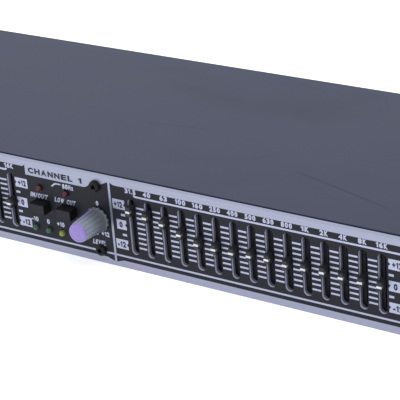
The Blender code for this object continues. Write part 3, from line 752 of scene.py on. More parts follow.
RACK_SLOT = (5.0 * MM, 3.4 * MM)                # half length, half height
RACK_X, RACK_Z = 232.55 * MM, 15.875 * MM
SWITCH_CUT_OUT = (6.4 * MM, 9.6 * MM)           # half width, half height
BUSH_HOLE_RADIUS = 4.0 * MM
DIVIDER_HALF = 0.6 * MM
INK_TOP, INK_BOTTOM = 40.9 * MM, 3.6 * MM
FLARE_TOP, FLARE_BOTTOM = 41.8 * MM, 2.3 * MM
TAB_LEFT, TAB_RIGHT, TAB_BOTTOM = 145.7 * MM, 178.9 * MM, 36.9 * MM
LINE_HALF = 0.45 * MM
BAND_LINE_Z, BASE_LINE_Z = 37.4 * MM, 5.95 * MM
LONG_LINE_END = 144.6 * MM
TICK_PITCH, TICK_HALF_WIDTH, TICK_HALF_HEIGHT = 2.49 * MM, 2.1 * MM, 0.42 * MM
FLAG_STEP, FLAG_HALF_HEIGHT = 10.0 * MM, 2.4 * MM
NOTCH = 0.9 * MM
FLAG_LEFT, FLAG_LEFT_WIDTH = 1.3 * MM, 6.6 * MM
FLAG_RIGHT, FLAG_RIGHT_WIDTH = 138.9 * MM, 7.2 * MM
ZERO_NARROWER = 1.3 * MM                        # a zero's flag is this much narrower
DASHES, DASH_HALF = (6.5 * MM, 140.1 * MM), (1.15 * MM, 0.55 * MM)
LABEL_HEIGHT, FLAG_LABEL_HEIGHT = 2.2 * MM, 2.7 * MM
LEAN = 0.25                                     # of the sloping legends
# Legends: text, X from the channel's left edge or from the knob, Z, width in mm, lean
CHANNEL_LEGENDS = (("IN/OUT", 152.2, 27.4, 10.0, LEAN), ("LOW CUT", 167.3, 27.4, 11.9, LEAN),
                   ("80Hz", 170.0, 35.0, 6.3, 0.0), ("-10", 148.3, 14.8, 4.0, 0.0),
                   ("0", 156.1, 14.8, 1.6, 0.0), ("+10", 163.4, 14.8, 4.3, 0.0))
KNOB_LEGENDS = (("0", 0.0, 30.1, 1.5, 0.0), ("+12", 3.0, 15.2, 4.4, 0.0),
                ("-12", -3.2, 15.2, 4.2, 0.0), ("LEVEL", -1.1, 10.2, 7.4, LEAN))


def panel_holes(channel, margin=0.0):
    """Outlines of one channel's openings, made larger by a margin."""
    left = LEFT[channel]
    holes = [upright_slot(x, MIDDLE_Z, SLOT_HALF_LENGTH + margin, SLOT_HALF_WIDTH + margin)
             for x in BAND_X[channel]]
    holes += [round_node(f"{name}_ch{channel}", 0.5 * MM, CLEARANCE + margin) for name in BUTTONS]
    for row, z in ((METER_LIGHTS, METER_Z), (STATUS_LIGHTS, STATUS_Z)):
        holes += [circle(left + x, z, LIGHT_RADIUS + CLEARANCE + margin, 24) for x in row]
    holes.append(circle(KNOB[channel].x, KNOB[channel].z, BUSH_HOLE_RADIUS + margin))
    return holes


class EQUALIZER_OT_front_panel(bpy.types.Operator):
    """Make the brushed front panel with its slots, and the dark ink on it"""
    bl_idname = "equalizer.front_panel"
    bl_label = "Front panel"

    def execute(self, context):
        centre = middle("front_panel")
        half = (PANEL_HIGH - PANEL_LOW) / 2
        outlines = [rounded(centre.x, centre.z, half.x, half.z, 0.8 * MM)]
        for channel in CHANNELS:
            outlines += panel_holes(channel)
        switch = middle("power_switch_body")
        outlines.append(rounded(switch.x, MIDDLE_Z, *SWITCH_CUT_OUT, 0.5 * MM))
        for side in (-1, 1):
            for level in (-1, 1):
                outlines.append(rounded(side * RACK_X, MIDDLE_Z + level * RACK_Z, *RACK_SLOT,
                                        RACK_SLOT[1] * 0.999, 8))
        plate = sheet(bmesh.new(), outlines, FRONT, PANEL_BACK, 0.1 * MM)
        piece("front_panel_plate", plate, ["metal"], stands_for=["front_panel"])

        depth = context.scene.equalizer_look.print_depth
        for channel in CHANNELS:
            left = LEFT[channel]
            screw_side = arc((TAB_RIGHT, TAB_BOTTOM + 4.2 * MM), 4.2 * MM, 270, 325, 6)
            edge = [(DIVIDER_HALF, FLARE_BOTTOM), (4.6 * MM, INK_BOTTOM),
                    (CHANNEL_WIDTH - 4.6 * MM, INK_BOTTOM), (CHANNEL_WIDTH - DIVIDER_HALF, FLARE_BOTTOM),
                    (CHANNEL_WIDTH - DIVIDER_HALF, FLARE_TOP), (188.4 * MM, 39.7 * MM),
                    *reversed(screw_side), (TAB_LEFT, TAB_BOTTOM), (TAB_LEFT, FLARE_TOP),
                    (144.4 * MM, INK_TOP), (2.7 * MM, INK_TOP), (DIVIDER_HALF, FLARE_TOP)]
            outline = [(left + x, z) for x, z in edge]
            ink = sheet(bmesh.new(), [outline] + panel_holes(channel, 0.03 * MM),
                        FRONT - depth, FRONT - depth * 0.1)
            piece(f"panel_ink_ch{channel}", ink, ["ink"])
        return {"FINISHED"}


def bar(x, z, half_width, half_height):
    return box_outline(x - half_width, x + half_width, z - half_height, z + half_height)


def flag(x, z, width, notch_side):
    """A small box with a triangular notch in the side that faces the sliders."""
    x0, x1 = x, x + width
    z0, z1 = z - FLAG_HALF_HEIGHT, z + FLAG_HALF_HEIGHT
    if notch_side == "right":
        return [(x0, z0), (x1, z0), (x1, z - NOTCH), (x1 - NOTCH, z), (x1, z + NOTCH), (x1, z1), (x0, z1)]
    return [(x0, z0), (x1, z0), (x1, z1), (x0, z1), (x0, z + NOTCH), (x0 + NOTCH, z), (x0, z - NOTCH)]


class EQUALIZER_OT_printing(bpy.types.Operator):
    """Print the scales, lines, flags and legends on the panel"""
    bl_idname = "equalizer.printing"
    bl_label = "Panel printing"

    def execute(self, context):
        depth = context.scene.equalizer_look.print_depth
        for channel in CHANNELS:
            self.silver(channel, FRONT - depth, depth)
            self.dark(channel, FRONT - 2.1 * depth)
        return {"FINISHED"}

    def silver(self, channel, front, depth):
        left = LEFT[channel]
        band = BAND_X[channel]
        # The line above the slots bends up at the first band, and on channel 1 at the last one too
        start, end = band[0] + 2.1 * MM, band[-1] - 2.1 * MM
        low, high = BAND_LINE_Z - LINE_HALF, BAND_LINE_Z + LINE_HALF
        step, half = 0.45 * MM, LINE_HALF * 0.8
        right_end = [(end, low), (end + step + half, low + step + half),
                     (end + step - half, low + step + 3 * half), (end - half, high)]
        if channel == 2:
            right_end = [(left + LONG_LINE_END, low), (left + LONG_LINE_END, high)]
        outlines = [[(start, low), *right_end, (start + half, high),
                     (start - step + half, low + step + 3 * half), (start - step - half, low + step + half)]]
        knob_x = KNOB[channel].x
        for x0, x1 in ((left + DIVIDER_HALF, knob_x - 3.4 * MM),
                       (knob_x + 2.4 * MM, left + CHANNEL_WIDTH - DIVIDER_HALF)):
            outlines.append(box_outline(x0, x1, BASE_LINE_Z - LINE_HALF, BASE_LINE_Z + LINE_HALF))
        for x, following in zip(band, band[1:]):
            outlines += [bar((x + following) / 2, MIDDLE_Z + row * TICK_PITCH, TICK_HALF_WIDTH,
                             TICK_HALF_HEIGHT) for row in range(-4, 5)]
        for step in (-1, 0, 1):
            z = MIDDLE_Z + step * FLAG_STEP
            narrow = ZERO_NARROWER if step == 0 else 0.0
            outlines.append(flag(left + FLAG_LEFT + narrow, z, FLAG_LEFT_WIDTH - narrow, "right"))
            outlines.append(flag(left + FLAG_RIGHT, z, FLAG_RIGHT_WIDTH - narrow, "left"))
        for step in (-1, 1):
            z = MIDDLE_Z + step * FLAG_STEP / 2
            outlines += [bar(left + x, z, *DASH_HALF) for x in DASHES]
        shape = sheet(bmesh.new(), outlines, front - depth, front)

        # Response curve of the low cut: a slope that bends over into a level line
        slope = mm((160.6, 33.7), (162.2, 35.0), (163.2, 35.45), (165.9, 35.5))
        thick = 0.32 * MM
        upper = [(left + x - thick * 0.6, z + thick) for x, z in slope]
        lower = [(left + x + thick * 0.6, z - thick) for x, z in reversed(slope)]
        sheet(shape, [upper + lower], front - depth, front)

        for x, name in zip(band, BANDS):
            label = name.replace("_", ".").upper()
            width = {2: 4.0, 3: 5.4, 4: 6.0}[len(label)] * MM
            lettering(shape, label, x, 39.65 * MM, width, LABEL_HEIGHT, front)
        for origin, legends in ((left, CHANNEL_LEGENDS), (knob_x, KNOB_LEGENDS)):
            for text, x, z, width, slant in legends:
                lettering(shape, text, origin + x * MM, z * MM, width * MM, LABEL_HEIGHT, front, slant)
        piece(f"silver_print_ch{channel}", shape, ["silver_print"])

    def dark(self, channel, front):
        left = LEFT[channel]
        shape = bmesh.new()
        for step, text in ((-1, "-12"), (0, "0"), (1, "+12")):
            z = MIDDLE_Z + step * FLAG_STEP
            width = 1.8 * MM if step == 0 else 4.6 * MM
            for x in (4.3 * MM + (0.6 * MM if step == 0 else 0), 142.9 * MM - (0.9 * MM if step == 0 else 0)):
                lettering(shape, text, left + x, z, width, FLAG_LABEL_HEIGHT, front)
        lettering(shape, f"CHANNEL {channel}", left + 163.0 * MM, 39.6 * MM, 31.0 * MM, 2.6 * MM,
                  FRONT - look().print_depth * 0.5)
        piece(f"dark_print_ch{channel}", shape, ["dark_print"])


# ---------------------------------------------------------------- controls

CAP_TAIL = 1.8 * MM                             # how far a cap runs back behind the panel's front
ROCKER_ROOM = (5.0 * MM, 8.2 * MM)              # half width, half height of the rocker's cavity
SWITCH_BODY = (6.1 * MM, 9.3 * MM)
SWITCH_CAVITY_END = 11.0 * MM


class EQUALIZER_OT_sliders(bpy.types.Operator):
    """Make the thirty slider caps with their white index lines"""
    bl_idname = "equalizer.sliders"
    bl_label = "Sliders"

    def execute(self, context):
        for channel in CHANNELS:
            for band in BANDS:
                self.cap(f"slider_ch{channel}_{band}")
        return {"FINISHED"}

    def cap(self, node):
        low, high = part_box(node)
        centre = (low + high) / 2
        half_line = 0.52 * MM
        tail = FRONT + CAP_TAIL
        shape = bmesh.new()
        block(shape, low, (high.x, tail, high.z), 0.14 * MM, 2)
        wrap = low.y + 1.4 * MM                 # the line runs on this far round the sides
        for place, normal in (((0, 0, centre.z - half_line), (0, 0, 1)),
                              ((0, 0, centre.z + half_line), (0, 0, 1)), ((0, wrap, 0), (0, 1, 0))):
            bmesh.ops.bisect_plane(shape, geom=shape.verts[:] + shape.edges[:] + shape.faces[:],
                                   plane_co=place, plane_no=normal)
        # The index line's front face takes the light colour; its sides take the darker copy, which is painted
        # shade
        for face in shape.faces:
            point = face.calc_center_median()
            if abs(point.z - centre.z) < half_line and point.y < wrap:
                face.material_index = 1 if face.normal.y < -0.6 else 3
        # The front narrows a little towards its top and bottom
        for vertex in shape.verts:
            lean = abs(vertex.co.z - centre.z) / (high.z - centre.z)
            if vertex.co.y < FRONT - 2.0 * MM and lean > 0.5:
                vertex.co.y += 0.35 * MM * (lean - 0.5) * 2
        block(shape, (centre.x - 0.6 * MM, tail, centre.z - 1.6 * MM),
              (centre.x + 0.6 * MM, high.y, centre.z + 1.6 * MM), 0.1 * MM, 1, 2)
        piece(f"{node}_cap", shape, ["plastic", "index", "nickel", "index_painted_shade"], body=node,
              stands_for=[node])


class EQUALIZER_OT_level_knobs(bpy.types.Operator):
    """Make the ribbed level knobs with their inserts and pointer lines"""
    bl_idname = "equalizer.level_knobs"
    bl_label = "Level knobs"

    ribs: IntProperty(name="Ribs", description="Number of ribs round a knob", default=15, min=6)
    setting: FloatProperty(name="Setting", description="How far the pointer is turned from the top",
                           subtype="ANGLE", default=math.radians(-14))

    def execute(self, context):
        for channel in CHANNELS:
            self.knob(f"level_knob_ch{channel}", KNOB[channel])
        return {"FINISHED"}

    def ring(self, shape, centre, y, radius, depth):
        """A loop round the knob: each rib has a flat top, and depth is how far the valleys go in."""
        valleys = (0.0, 0.0, 0.0, 0.45, 0.92, 1.0, 0.92, 0.45)
        steps = self.ribs * len(valleys)
        made = bmesh.ops.create_circle(shape, segments=steps, radius=1.0)["verts"]
        for index, vertex in enumerate(made):
            angle = math.tau * (index - 1) / steps
            reach = radius - depth * valleys[index % len(valleys)]
            vertex.co = (centre.x + reach * math.sin(angle), y, centre.z + reach * math.cos(angle))
        return edges_at(made)

    def knob(self, node, centre):
        """Stations are (distance behind the panel's front, radius, depth of the valleys), in mm."""
        low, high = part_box(node)
        tip = (low.y - centre.y) / MM
        stations = ((-0.45, 5.2, 0.0), (-0.45, 5.85, 0.3), (-0.8, 6.22, 0.5), (-1.6, 6.22, 0.5),
                    (-2.0, 5.8, 0.6), (-2.4, 5.7, 0.6), (tip + 2.3, 4.83, 0.5), (tip + 1.75, 4.75, 0.25),
                    (tip + 1.6, 4.6, 0.0), (tip + 1.6, 4.2, 0.0))
        shape = bmesh.new()
        loops = [self.ring(shape, centre, centre.y + y * MM, radius * MM, depth * MM)
                 for y, radius, depth in stations]
        for first, second in zip(loops, loops[1:]):
            bmesh.ops.bridge_loops(shape, edges=first + second)
        bmesh.ops.holes_fill(shape, edges=loops[0])
        bmesh.ops.holes_fill(shape, edges=loops[-1])
        bmesh.ops.recalc_face_normals(shape, faces=shape.faces)
        shaft = [(0, -0.6 * MM), (3.0 * MM, -0.6 * MM), (3.0 * MM, high.y - centre.y), (0, high.y - centre.y)]
        turned(shape, shaft, centre, 40)
        face = low.y - centre.y
        insert = [(0, face + 0.1 * MM), (1.6 * MM, face + 0.06 * MM), (2.9 * MM, face),
                  *arc((3.35 * MM, face + 1.2 * MM), 1.2 * MM, -90, 0, 6), (4.6 * MM, face + 1.55 * MM),
                  (0, face + 1.55 * MM)]
        turned(shape, insert, centre, 60, paint=1)
        # The pointer lies on the barrel's top rib
        near, far = tip + 2.4, -2.5
        line = block(shape, (centre.x - 0.42 * MM, centre.y + near * MM, centre.z + 4.5 * MM),
                     (centre.x + 0.42 * MM, centre.y + far * MM, centre.z + 4.93 * MM), 0.1 * MM, 1, 1)
        for vertex in corners(line):
            share = (vertex.co.y - centre.y - near * MM) / ((far - near) * MM)
            vertex.co.z += 0.87 * MM * share
        bmesh.ops.rotate(shape, cent=centre, matrix=Matrix.Rotation(self.setting, 3, "Y"), verts=shape.verts)
        piece(f"{node}_cap", shape, ["knob", "tip"], body=node, stands_for=[node],
              crease=28)


class EQUALIZER_OT_buttons(bpy.types.Operator):
    """Make the push buttons with rounded edges and dished faces"""
    bl_idname = "equalizer.buttons"
    bl_label = "Push buttons"

    def execute(self, context):
        for channel in CHANNELS:
            for name in BUTTONS:
                self.button(f"{name}_ch{channel}")
        return {"FINISHED"}

    def button(self, node):
        low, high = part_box(node)
        centre = (low + high) / 2
        tail = FRONT + CAP_TAIL
        shape = bmesh.new()
        # Every face first gets the darker copy, painted shade, and then the front face gets the lighter
        # plastic
        faces = block(shape, low, (high.x, tail, high.z), 0.35 * MM, 3, 1)
        front = min(faces, key=lambda face: face.calc_center_median().y)
        front.material_index = 0
        bmesh.ops.inset_region(shape, faces=[front], thickness=0.7 * MM, depth=0.0)
        bmesh.ops.inset_region(shape, faces=[front], thickness=0.5 * MM, depth=-0.12 * MM)
        half = 1.5 * MM
        block(shape, (centre.x - half, tail, centre.z - half), (centre.x + half, high.y, centre.z + half),
              0.2 * MM, 1, 1)
        piece(f"{node}_cap", shape, ["button", "button_painted_shade"], body=node, stands_for=[node])


class EQUALIZER_OT_lights(bpy.types.Operator):
    """Make the indicator lights and the guides that hold them"""
    bl_idname = "equalizer.lights"
    bl_label = "Indicator lights"

    def execute(self, context):
        for channel in CHANNELS:
            left = LEFT[channel]
            node = f"led_guide_ch{channel}"
            holes = [round_node(f"{name}_ch{channel}", 0.4 * MM, CLEARANCE) for name in BUTTONS]
            guide = sheet(bmesh.new(), [round_node(node, 1.0 * MM), *holes], PANEL_BACK + CLEARANCE,
                          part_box(node)[1].y, 0.15 * MM)
            piece(f"light_guide_ch{channel}", guide, ["plastic"], stands_for=[node])
            lights = [(x, METER_Z, finish) for x, finish in zip(METER_LIGHTS, ("green", "green", "yellow"))]
            lights += [(x, STATUS_Z, "red") for x in STATUS_LIGHTS]
            for number, (x, z, finish) in enumerate(lights, 1):
                self.light(f"light_{number}_ch{channel}", left + x, z, finish)
        return {"FINISHED"}

    def light(self, name, x, z, finish):
        start = LIGHT_RADIUS - LIGHT_REACH
        dome = [(r, y) for y, r in
                ((start - LIGHT_RADIUS * math.cos(a), LIGHT_RADIUS * math.sin(a))
                 for a in (math.radians(15 * i) for i in range(7)))]
        dome[0] = (0, dome[0][1])
        back = PANEL_BACK - FRONT + 0.2 * MM
        shape = turned(bmesh.new(), dome + [(LIGHT_RADIUS, back), (0, back)], (x, FRONT, z), 32)
        piece(name, shape, [finish])


# ---------------------------------------------------------------- screws

def screw(shape, place, radius, height, turn=None, paint=0, angle=0.0):
    """A pan head with a cross recess, made at the origin, facing -Y unless it is turned."""
    sides = 32
    arm, half = radius * 0.52, radius * 0.12

    def make():
        rim = [(radius, 0.0), (radius, -height * 0.35), (radius * 0.93, -height * 0.72),
               (radius * 0.76, -height * 0.94), (radius * 0.62, -height)]
        rings = []
        for r, y in rim:
            ring = bmesh.ops.create_circle(shape, segments=sides, radius=r)["verts"]
            for index, vertex in enumerate(ring):
                a = math.tau * (index + 0.5) / sides
                vertex.co = (r * math.cos(a), y, r * math.sin(a))
            rings.append(edges_at(ring))
        cross = [(half, arm), (half, half), (arm, half), (arm, -half), (half, -half), (half, -arm),
                 (-half, -arm), (-half, -half), (-arm, -half), (-arm, half), (-half, half), (-half, arm)]
        loops = []
        for scale, y in ((1.0, -height), (0.55, -height * 0.25)):
            verts = [shape.verts.new((u * scale, y, v * scale)) for u, v in cross]
            loops.append([shape.edges.new((verts[i], verts[(i + 1) % 12])) for i in range(12)])
        for first, second in zip(rings + loops, (rings + loops)[1:]):
            bmesh.ops.bridge_loops(shape, edges=first + second)
        bmesh.ops.holes_fill(shape, edges=rings[0])
        bmesh.ops.holes_fill(shape, edges=loops[-1])

    faces = added(shape, make, paint)
    bmesh.ops.recalc_face_normals(shape, faces=faces)
    verts = corners(faces)
    matrix = Matrix.Rotation(angle, 3, "Y")
    bmesh.ops.rotate(shape, cent=(0, 0, 0), matrix=turn @ matrix if turn else matrix, verts=verts)
    bmesh.ops.translate(shape, vec=place, verts=verts)
    return shape


class EQUALIZER_OT_screws(bpy.types.Operator):
    """Make the panel screws and the screws of the cover and the rear panel"""
    bl_idname = "equalizer.screws"
    bl_label = "Screws"

    def execute(self, context):
        chance = random.Random(7)
        for channel in CHANNELS:
            for word, offset in (("upper", SCREW_ABOVE), ("lower", SCREW_BELOW)):
                place = (KNOB[channel].x, FRONT, MIDDLE_Z + offset)
                shape = screw(bmesh.new(), place, 2.8 * MM, 2.0 * MM, angle=chance.uniform(0, 1.5))
                piece(f"panel_screw_{word}_ch{channel}", shape, ["screw"])
        turned_out = {"left": Matrix.Rotation(math.radians(-90), 3, "Z"),
                      "right": Matrix.Rotation(math.radians(90), 3, "Z")}
        for word, x in (("left", COVER_LOW.x), ("right", COVER_HIGH.x)):
            shape = bmesh.new()
            for share in (0.12, 0.5, 0.88):
                y = COVER_LOW.y + (COVER_HIGH.y - COVER_LOW.y) * share
                screw(shape, (x, y, COVER_LOW.z + 5.5 * MM), 2.7 * MM, 1.4 * MM, turned_out[word],
                      angle=chance.uniform(0, 1.5))
            piece(f"cover_screws_{word}", shape, ["screw"])
        facing_back = Matrix.Rotation(math.pi, 3, "Z")
        shape = bmesh.new()
        for x in (REAR_LOW.x + 6 * MM, REAR_HIGH.x - 6 * MM, -48 * MM, 100 * MM):
            for z in (REAR_LOW.z + 5 * MM, REAR_HIGH.z - 5 * MM):
                screw(shape, (x, REAR, z), 2.5 * MM, 1.3 * MM, facing_back, angle=chance.uniform(0, 1.5))
        piece("rear_panel_screws", shape, ["screw"])
        return {"FINISHED"}


# ---------------------------------------------------------------- power switch

class EQUALIZER_OT_power_switch(bpy.types.Operator):
    """Make the power switch's bezel and its rocker"""
    bl_idname = "equalizer.power_switch"
    bl_label = "Power switch"

    def execute(self, context):
        low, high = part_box("power_switch_body")
        centre = middle("power_switch_body")
        x, z = centre.x, MIDDLE_Z
        half_x, half_z = (high.x - low.x) / 2, (high.z - low.z) / 2
        room = rounded(x, z, *ROCKER_ROOM, 0.4 * MM)
        shape = sheet(bmesh.new(), [rounded(x, z, half_x, half_z, 1.2 * MM), room], low.y,
                      FRONT - CLEARANCE, 0.4 * MM)
        wide, tall = SWITCH_BODY
        cavity_end = FRONT + SWITCH_CAVITY_END
        sheet(shape, [rounded(x, z, wide, tall, 0.4 * MM), room], FRONT - CLEARANCE, cavity_end)
        block(shape, (x - wide, cavity_end, z - tall), (x + wide, high.y, z + tall), 0.3 * MM)
        for offset in (-5.0 * MM, 0, 5.0 * MM):
            block(shape, (x - 3.0 * MM, high.y - 0.2 * MM, z + offset - 0.4 * MM),
                  (x + 3.0 * MM, high.y, z + offset + 0.4 * MM), 0.05 * MM, 1, 1)
        piece("power_switch_bezel", shape, ["plastic", "nickel"], stands_for=["power_switch_body"])

        low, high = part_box("power_rocker")
        pivot = Vector(JOINTS["power_rocker"]["pos_m"])
        half_width = (high.x - low.x) / 2
        side = [(-5.2, 0.0), (-5.35, 1.6), (-5.8, 4.4), (-6.6, 7.0), (0.0, 7.0), (4.0, 3.5), (4.0, -3.5),
                (0.0, -7.0), (-6.6, -7.0), (-5.8, -4.4), (-5.35, -1.6)]
        shape = bmesh.new()
        verts = [shape.verts.new((pivot.x - half_width, pivot.y + y * MM, pivot.z + z * MM)) for y, z in side]
        made = bmesh.ops.extrude_face_region(shape, geom=[shape.faces.new(verts)])
        moved = [item for item in made["geom"] if isinstance(item, bmesh.types.BMVert)]
        bmesh.ops.translate(shape, vec=(2 * half_width, 0, 0), verts=moved)
        bmesh.ops.recalc_face_normals(shape, faces=shape.faces)
        edges = [edge for edge in shape.edges if edge.is_manifold and edge.calc_face_angle() > 0.6]
        bevel(shape, edges, 0.3 * MM, 2)
        # The usual on and off marks: a bar at the top and a ring at the bottom
        lean = math.atan2(0.45, 2.8)
        marks = (([bar(0, 0, 0.3 * MM, 1.3 * MM)], lean, 3.0 * MM),
                 ([circle(0, 0, 1.3 * MM, 24), circle(0, 0, 0.8 * MM, 24)], -lean, -3.0 * MM))
        for outlines, tilt, height in marks:
            before = set(shape.verts)
            sheet(shape, outlines, -0.03 * MM, 0.02 * MM, 0, 1)
            fresh = [vertex for vertex in shape.verts if vertex not in before]
            bmesh.ops.rotate(shape, cent=(0, 0, 0), matrix=Matrix.Rotation(tilt, 3, "X"), verts=fresh)
            bmesh.ops.translate(shape, vec=(pivot.x, pivot.y - 5.575 * MM, pivot.z + height), verts=fresh)
        bmesh.ops.rotate(shape, cent=pivot, matrix=Matrix.Rotation(math.radians(8), 3, "X"),
                         verts=shape.verts)
        piece("power_rocker_cap", shape, ["glossy", "index"], body="power_rocker",
              stands_for=["power_rocker"])
        return {"FINISHED"}


# ---------------------------------------------------------------- casing

JACK_OFFSET = 9.0 * MM                          # of each jack from the middle of its pair
JACK_BORE = 3.3 * MM
XLR_BORE = 9.4 * MM


class EQUALIZER_OT_casing(bpy.types.Operator):
    """Make the folded cover and the rear panel, and paint the tray"""
    bl_idname = "equalizer.casing"
    bl_label = "Casing"

    def execute(self, context):
        sheet_thick = 1.2 * MM
        radius = context.scene.equalizer_look.sheet_radius
        inner = max(radius - sheet_thick, 0.2 * MM)
        x, top, hem = COVER_HIGH.x, COVER_HIGH.z, COVER_LOW.z
        right = [(x, hem), *arc((x - radius, top - radius), radius, 0, 90, 6)]
        under = [(x - sheet_thick, hem),
                 *arc((x - sheet_thick - inner, top - sheet_thick - inner), inner, 0, 90, 4)]
        outline = right + [(-u, v) for u, v in reversed(right)] + [(-u, v) for u, v in under]
        outline += list(reversed(under))
        cover = sheet(bmesh.new(), [outline], COVER_LOW.y, COVER_HIGH.y, 0.12 * MM)
        piece("cover_shell", cover, ["cover"], stands_for=["top_cover"])

        centre = middle("rear_panel")
        holes = []
        for node in ("xlr_input_ch1", "xlr_output_ch1", "xlr_input_ch2", "xlr_output_ch2"):
            place = middle(node)
            holes.append(circle(place.x, place.z, 12.0 * MM))
        for node in ("jack_pair_ch1", "jack_pair_ch2"):
            place = middle(node)
            holes += [circle(place.x + side * JACK_OFFSET, place.z, 5.1 * MM) for side in (-1, 1)]
        place = middle("mains_inlet")
        holes.append(rounded(place.x, place.z, 14.0 * MM, 10.1 * MM, 0.6 * MM))
        plate = sheet(bmesh.new(), [rounded(centre.x, centre.z, (REAR_HIGH.x - REAR_LOW.x) / 2,
                                            (REAR_HIGH.z - REAR_LOW.z) / 2, 0.6 * MM)] + holes,
                      REAR_LOW.y, REAR, 0.1 * MM)
        piece("rear_plate", plate, ["tray"], stands_for=["rear_panel"])
        repaint("chassis_tray", FINISH["tray"])
        return {"FINISHED"}


# ---------------------------------------------------------------- rear sockets

def mirror_to_back(shape, y):
    """Turn a shape that was modelled facing -Y about Y zero so that it faces the back at y."""
    bmesh.ops.scale(shape, vec=(1, -1, 1), verts=shape.verts)
    bmesh.ops.reverse_faces(shape, faces=shape.faces)
    bmesh.ops.translate(shape, vec=(0, y, 0), verts=shape.verts)
    return shape


class EQUALIZER_OT_xlr_sockets(bpy.types.Operator):
    """Make the four XLR sockets with their flanges, contacts and latches"""
    bl_idname = "equalizer.xlr_sockets"
    bl_label = "XLR sockets"

    def execute(self, context):
        for channel in CHANNELS:
            self.socket(f"xlr_input_ch{channel}", False)
            self.socket(f"xlr_output_ch{channel}", True)
        return {"FINISHED"}

    def socket(self, node, male):
        """Modelled facing -Y with its mounting face at Y zero: paint 0 plastic, 1 nickel, 2 screws."""
        place = middle(node)
        x, z = place.x, place.z
        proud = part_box(node)[1].y - REAR
        shape = sheet(bmesh.new(), [rounded(x, z, 13.0 * MM, 15.5 * MM, 2.0 * MM),
                                    circle(x, z, XLR_BORE, 48)], -proud, -CLEARANCE, 0.3 * MM, 1)
        ring = [(XLR_BORE, -proud), *mm((9.4, 14.0), (0, 14.0), (0, 20.0), (11.7, 20.0)),
                (11.7 * MM, -CLEARANCE), (9.6 * MM, -CLEARANCE), (9.6 * MM, -proud + 0.05 * MM),
                (XLR_BORE, -proud)]
        turned(shape, ring, (x, 0, z), 48)
        spots = [(x + 3.8 * MM * math.cos(a), z + 3.8 * MM * math.sin(a))
                 for a in (math.radians(angle) for angle in (30, 150, 270))]
        if male:
            for pin_x, pin_z in spots:
                pin = mm((0, 2.0), (0.5, 2.05), (0.95, 2.5), (1.2, 3.4), (1.2, 14.1), (0, 14.1))
                turned(shape, pin, (pin_x, 0, pin_z), 20, paint=1)
        else:
            sheet(shape, [circle(x, z, 7.7 * MM, 48)] + [circle(u, v, 1.4 * MM, 20) for u, v in spots],
                  0, 13.9 * MM, 0.3 * MM)
            for pin_x, pin_z in spots:
                sleeve = mm((1.05, 0.8), (1.38, 0.8), (1.38, 8), (1.05, 8), (1.05, 0.8))
                turned(shape, sleeve, (pin_x, 0, pin_z), 20, paint=1)
            block(shape, (x - 3.0 * MM, -proud - 0.5 * MM, z + 10.1 * MM),
                  (x + 3.0 * MM, -0.4 * MM, z + 13.6 * MM), 0.5 * MM, 2, 1)
        for across, up in ((-1, 1), (1, -1)):
            screw(shape, (x + across * 9.5 * MM, -proud + 0.02 * MM, z + up * 12.0 * MM), 1.9 * MM, 0.6 * MM,
                  paint=2)
        mirror_to_back(shape, REAR)
        piece(f"{node}_socket", shape, ["plastic", "nickel", "screw"], stands_for=[node])


class EQUALIZER_OT_jack_pairs(bpy.types.Operator):
    """Make the twin jack sockets with their hexagon nuts"""
    bl_idname = "equalizer.jack_pairs"
    bl_label = "Jack sockets"

    def execute(self, context):
        for channel in CHANNELS:
            node = f"jack_pair_ch{channel}"
            place = middle(node)
            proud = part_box(node)[1].y - REAR
            shape = bmesh.new()
            holes = [circle(place.x + side * JACK_OFFSET, place.z, JACK_BORE, 32) for side in (-1, 1)]
            behind = 1.5 * MM
            body = rounded(place.x, place.z, 17.5 * MM, 8.0 * MM, 1.0 * MM)
            sheet(shape, [body] + holes, behind, 24.0 * MM, 0.2 * MM)
            sheet(shape, [body], 24.0 * MM, 26.0 * MM)
            for side in (-1, 1):
                x = place.x + side * JACK_OFFSET
                lip = -proud + 0.3 * MM
                tube = [(JACK_BORE, lip), *arc((3.7 * MM, lip), 0.3 * MM, 180, 270), (4.5 * MM, -proud),
                        (4.8 * MM, lip), (4.8 * MM, behind), (JACK_BORE, behind), (JACK_BORE, lip)]
                turned(shape, tube, (x, 0, place.z), 32, paint=0)
                sheet(shape, [circle(x, place.z, 7.2 * MM), circle(x, place.z, 4.85 * MM, 32)], -0.5 * MM, 0,
                      0.08 * MM, 1)
                nut = [(x + 6.3 * MM * math.cos(a), place.z + 6.3 * MM * math.sin(a))
                       for a in map(math.radians, range(10, 370, 60))]
                sheet(shape, [nut, circle(x, place.z, 4.85 * MM, 32)], -2.2 * MM, -0.5 * MM, 0.25 * MM, 1)
                block(shape, (x - 0.8 * MM, 6.0 * MM, place.z + 2.4 * MM),
                      (x + 0.8 * MM, 9.0 * MM, place.z + 3.25 * MM), 0.2 * MM, 1, 1)
            mirror_to_back(shape, REAR)
            piece(f"{node}_sockets", shape, ["plastic", "nickel"], stands_for=[node])
        return {"FINISHED"}


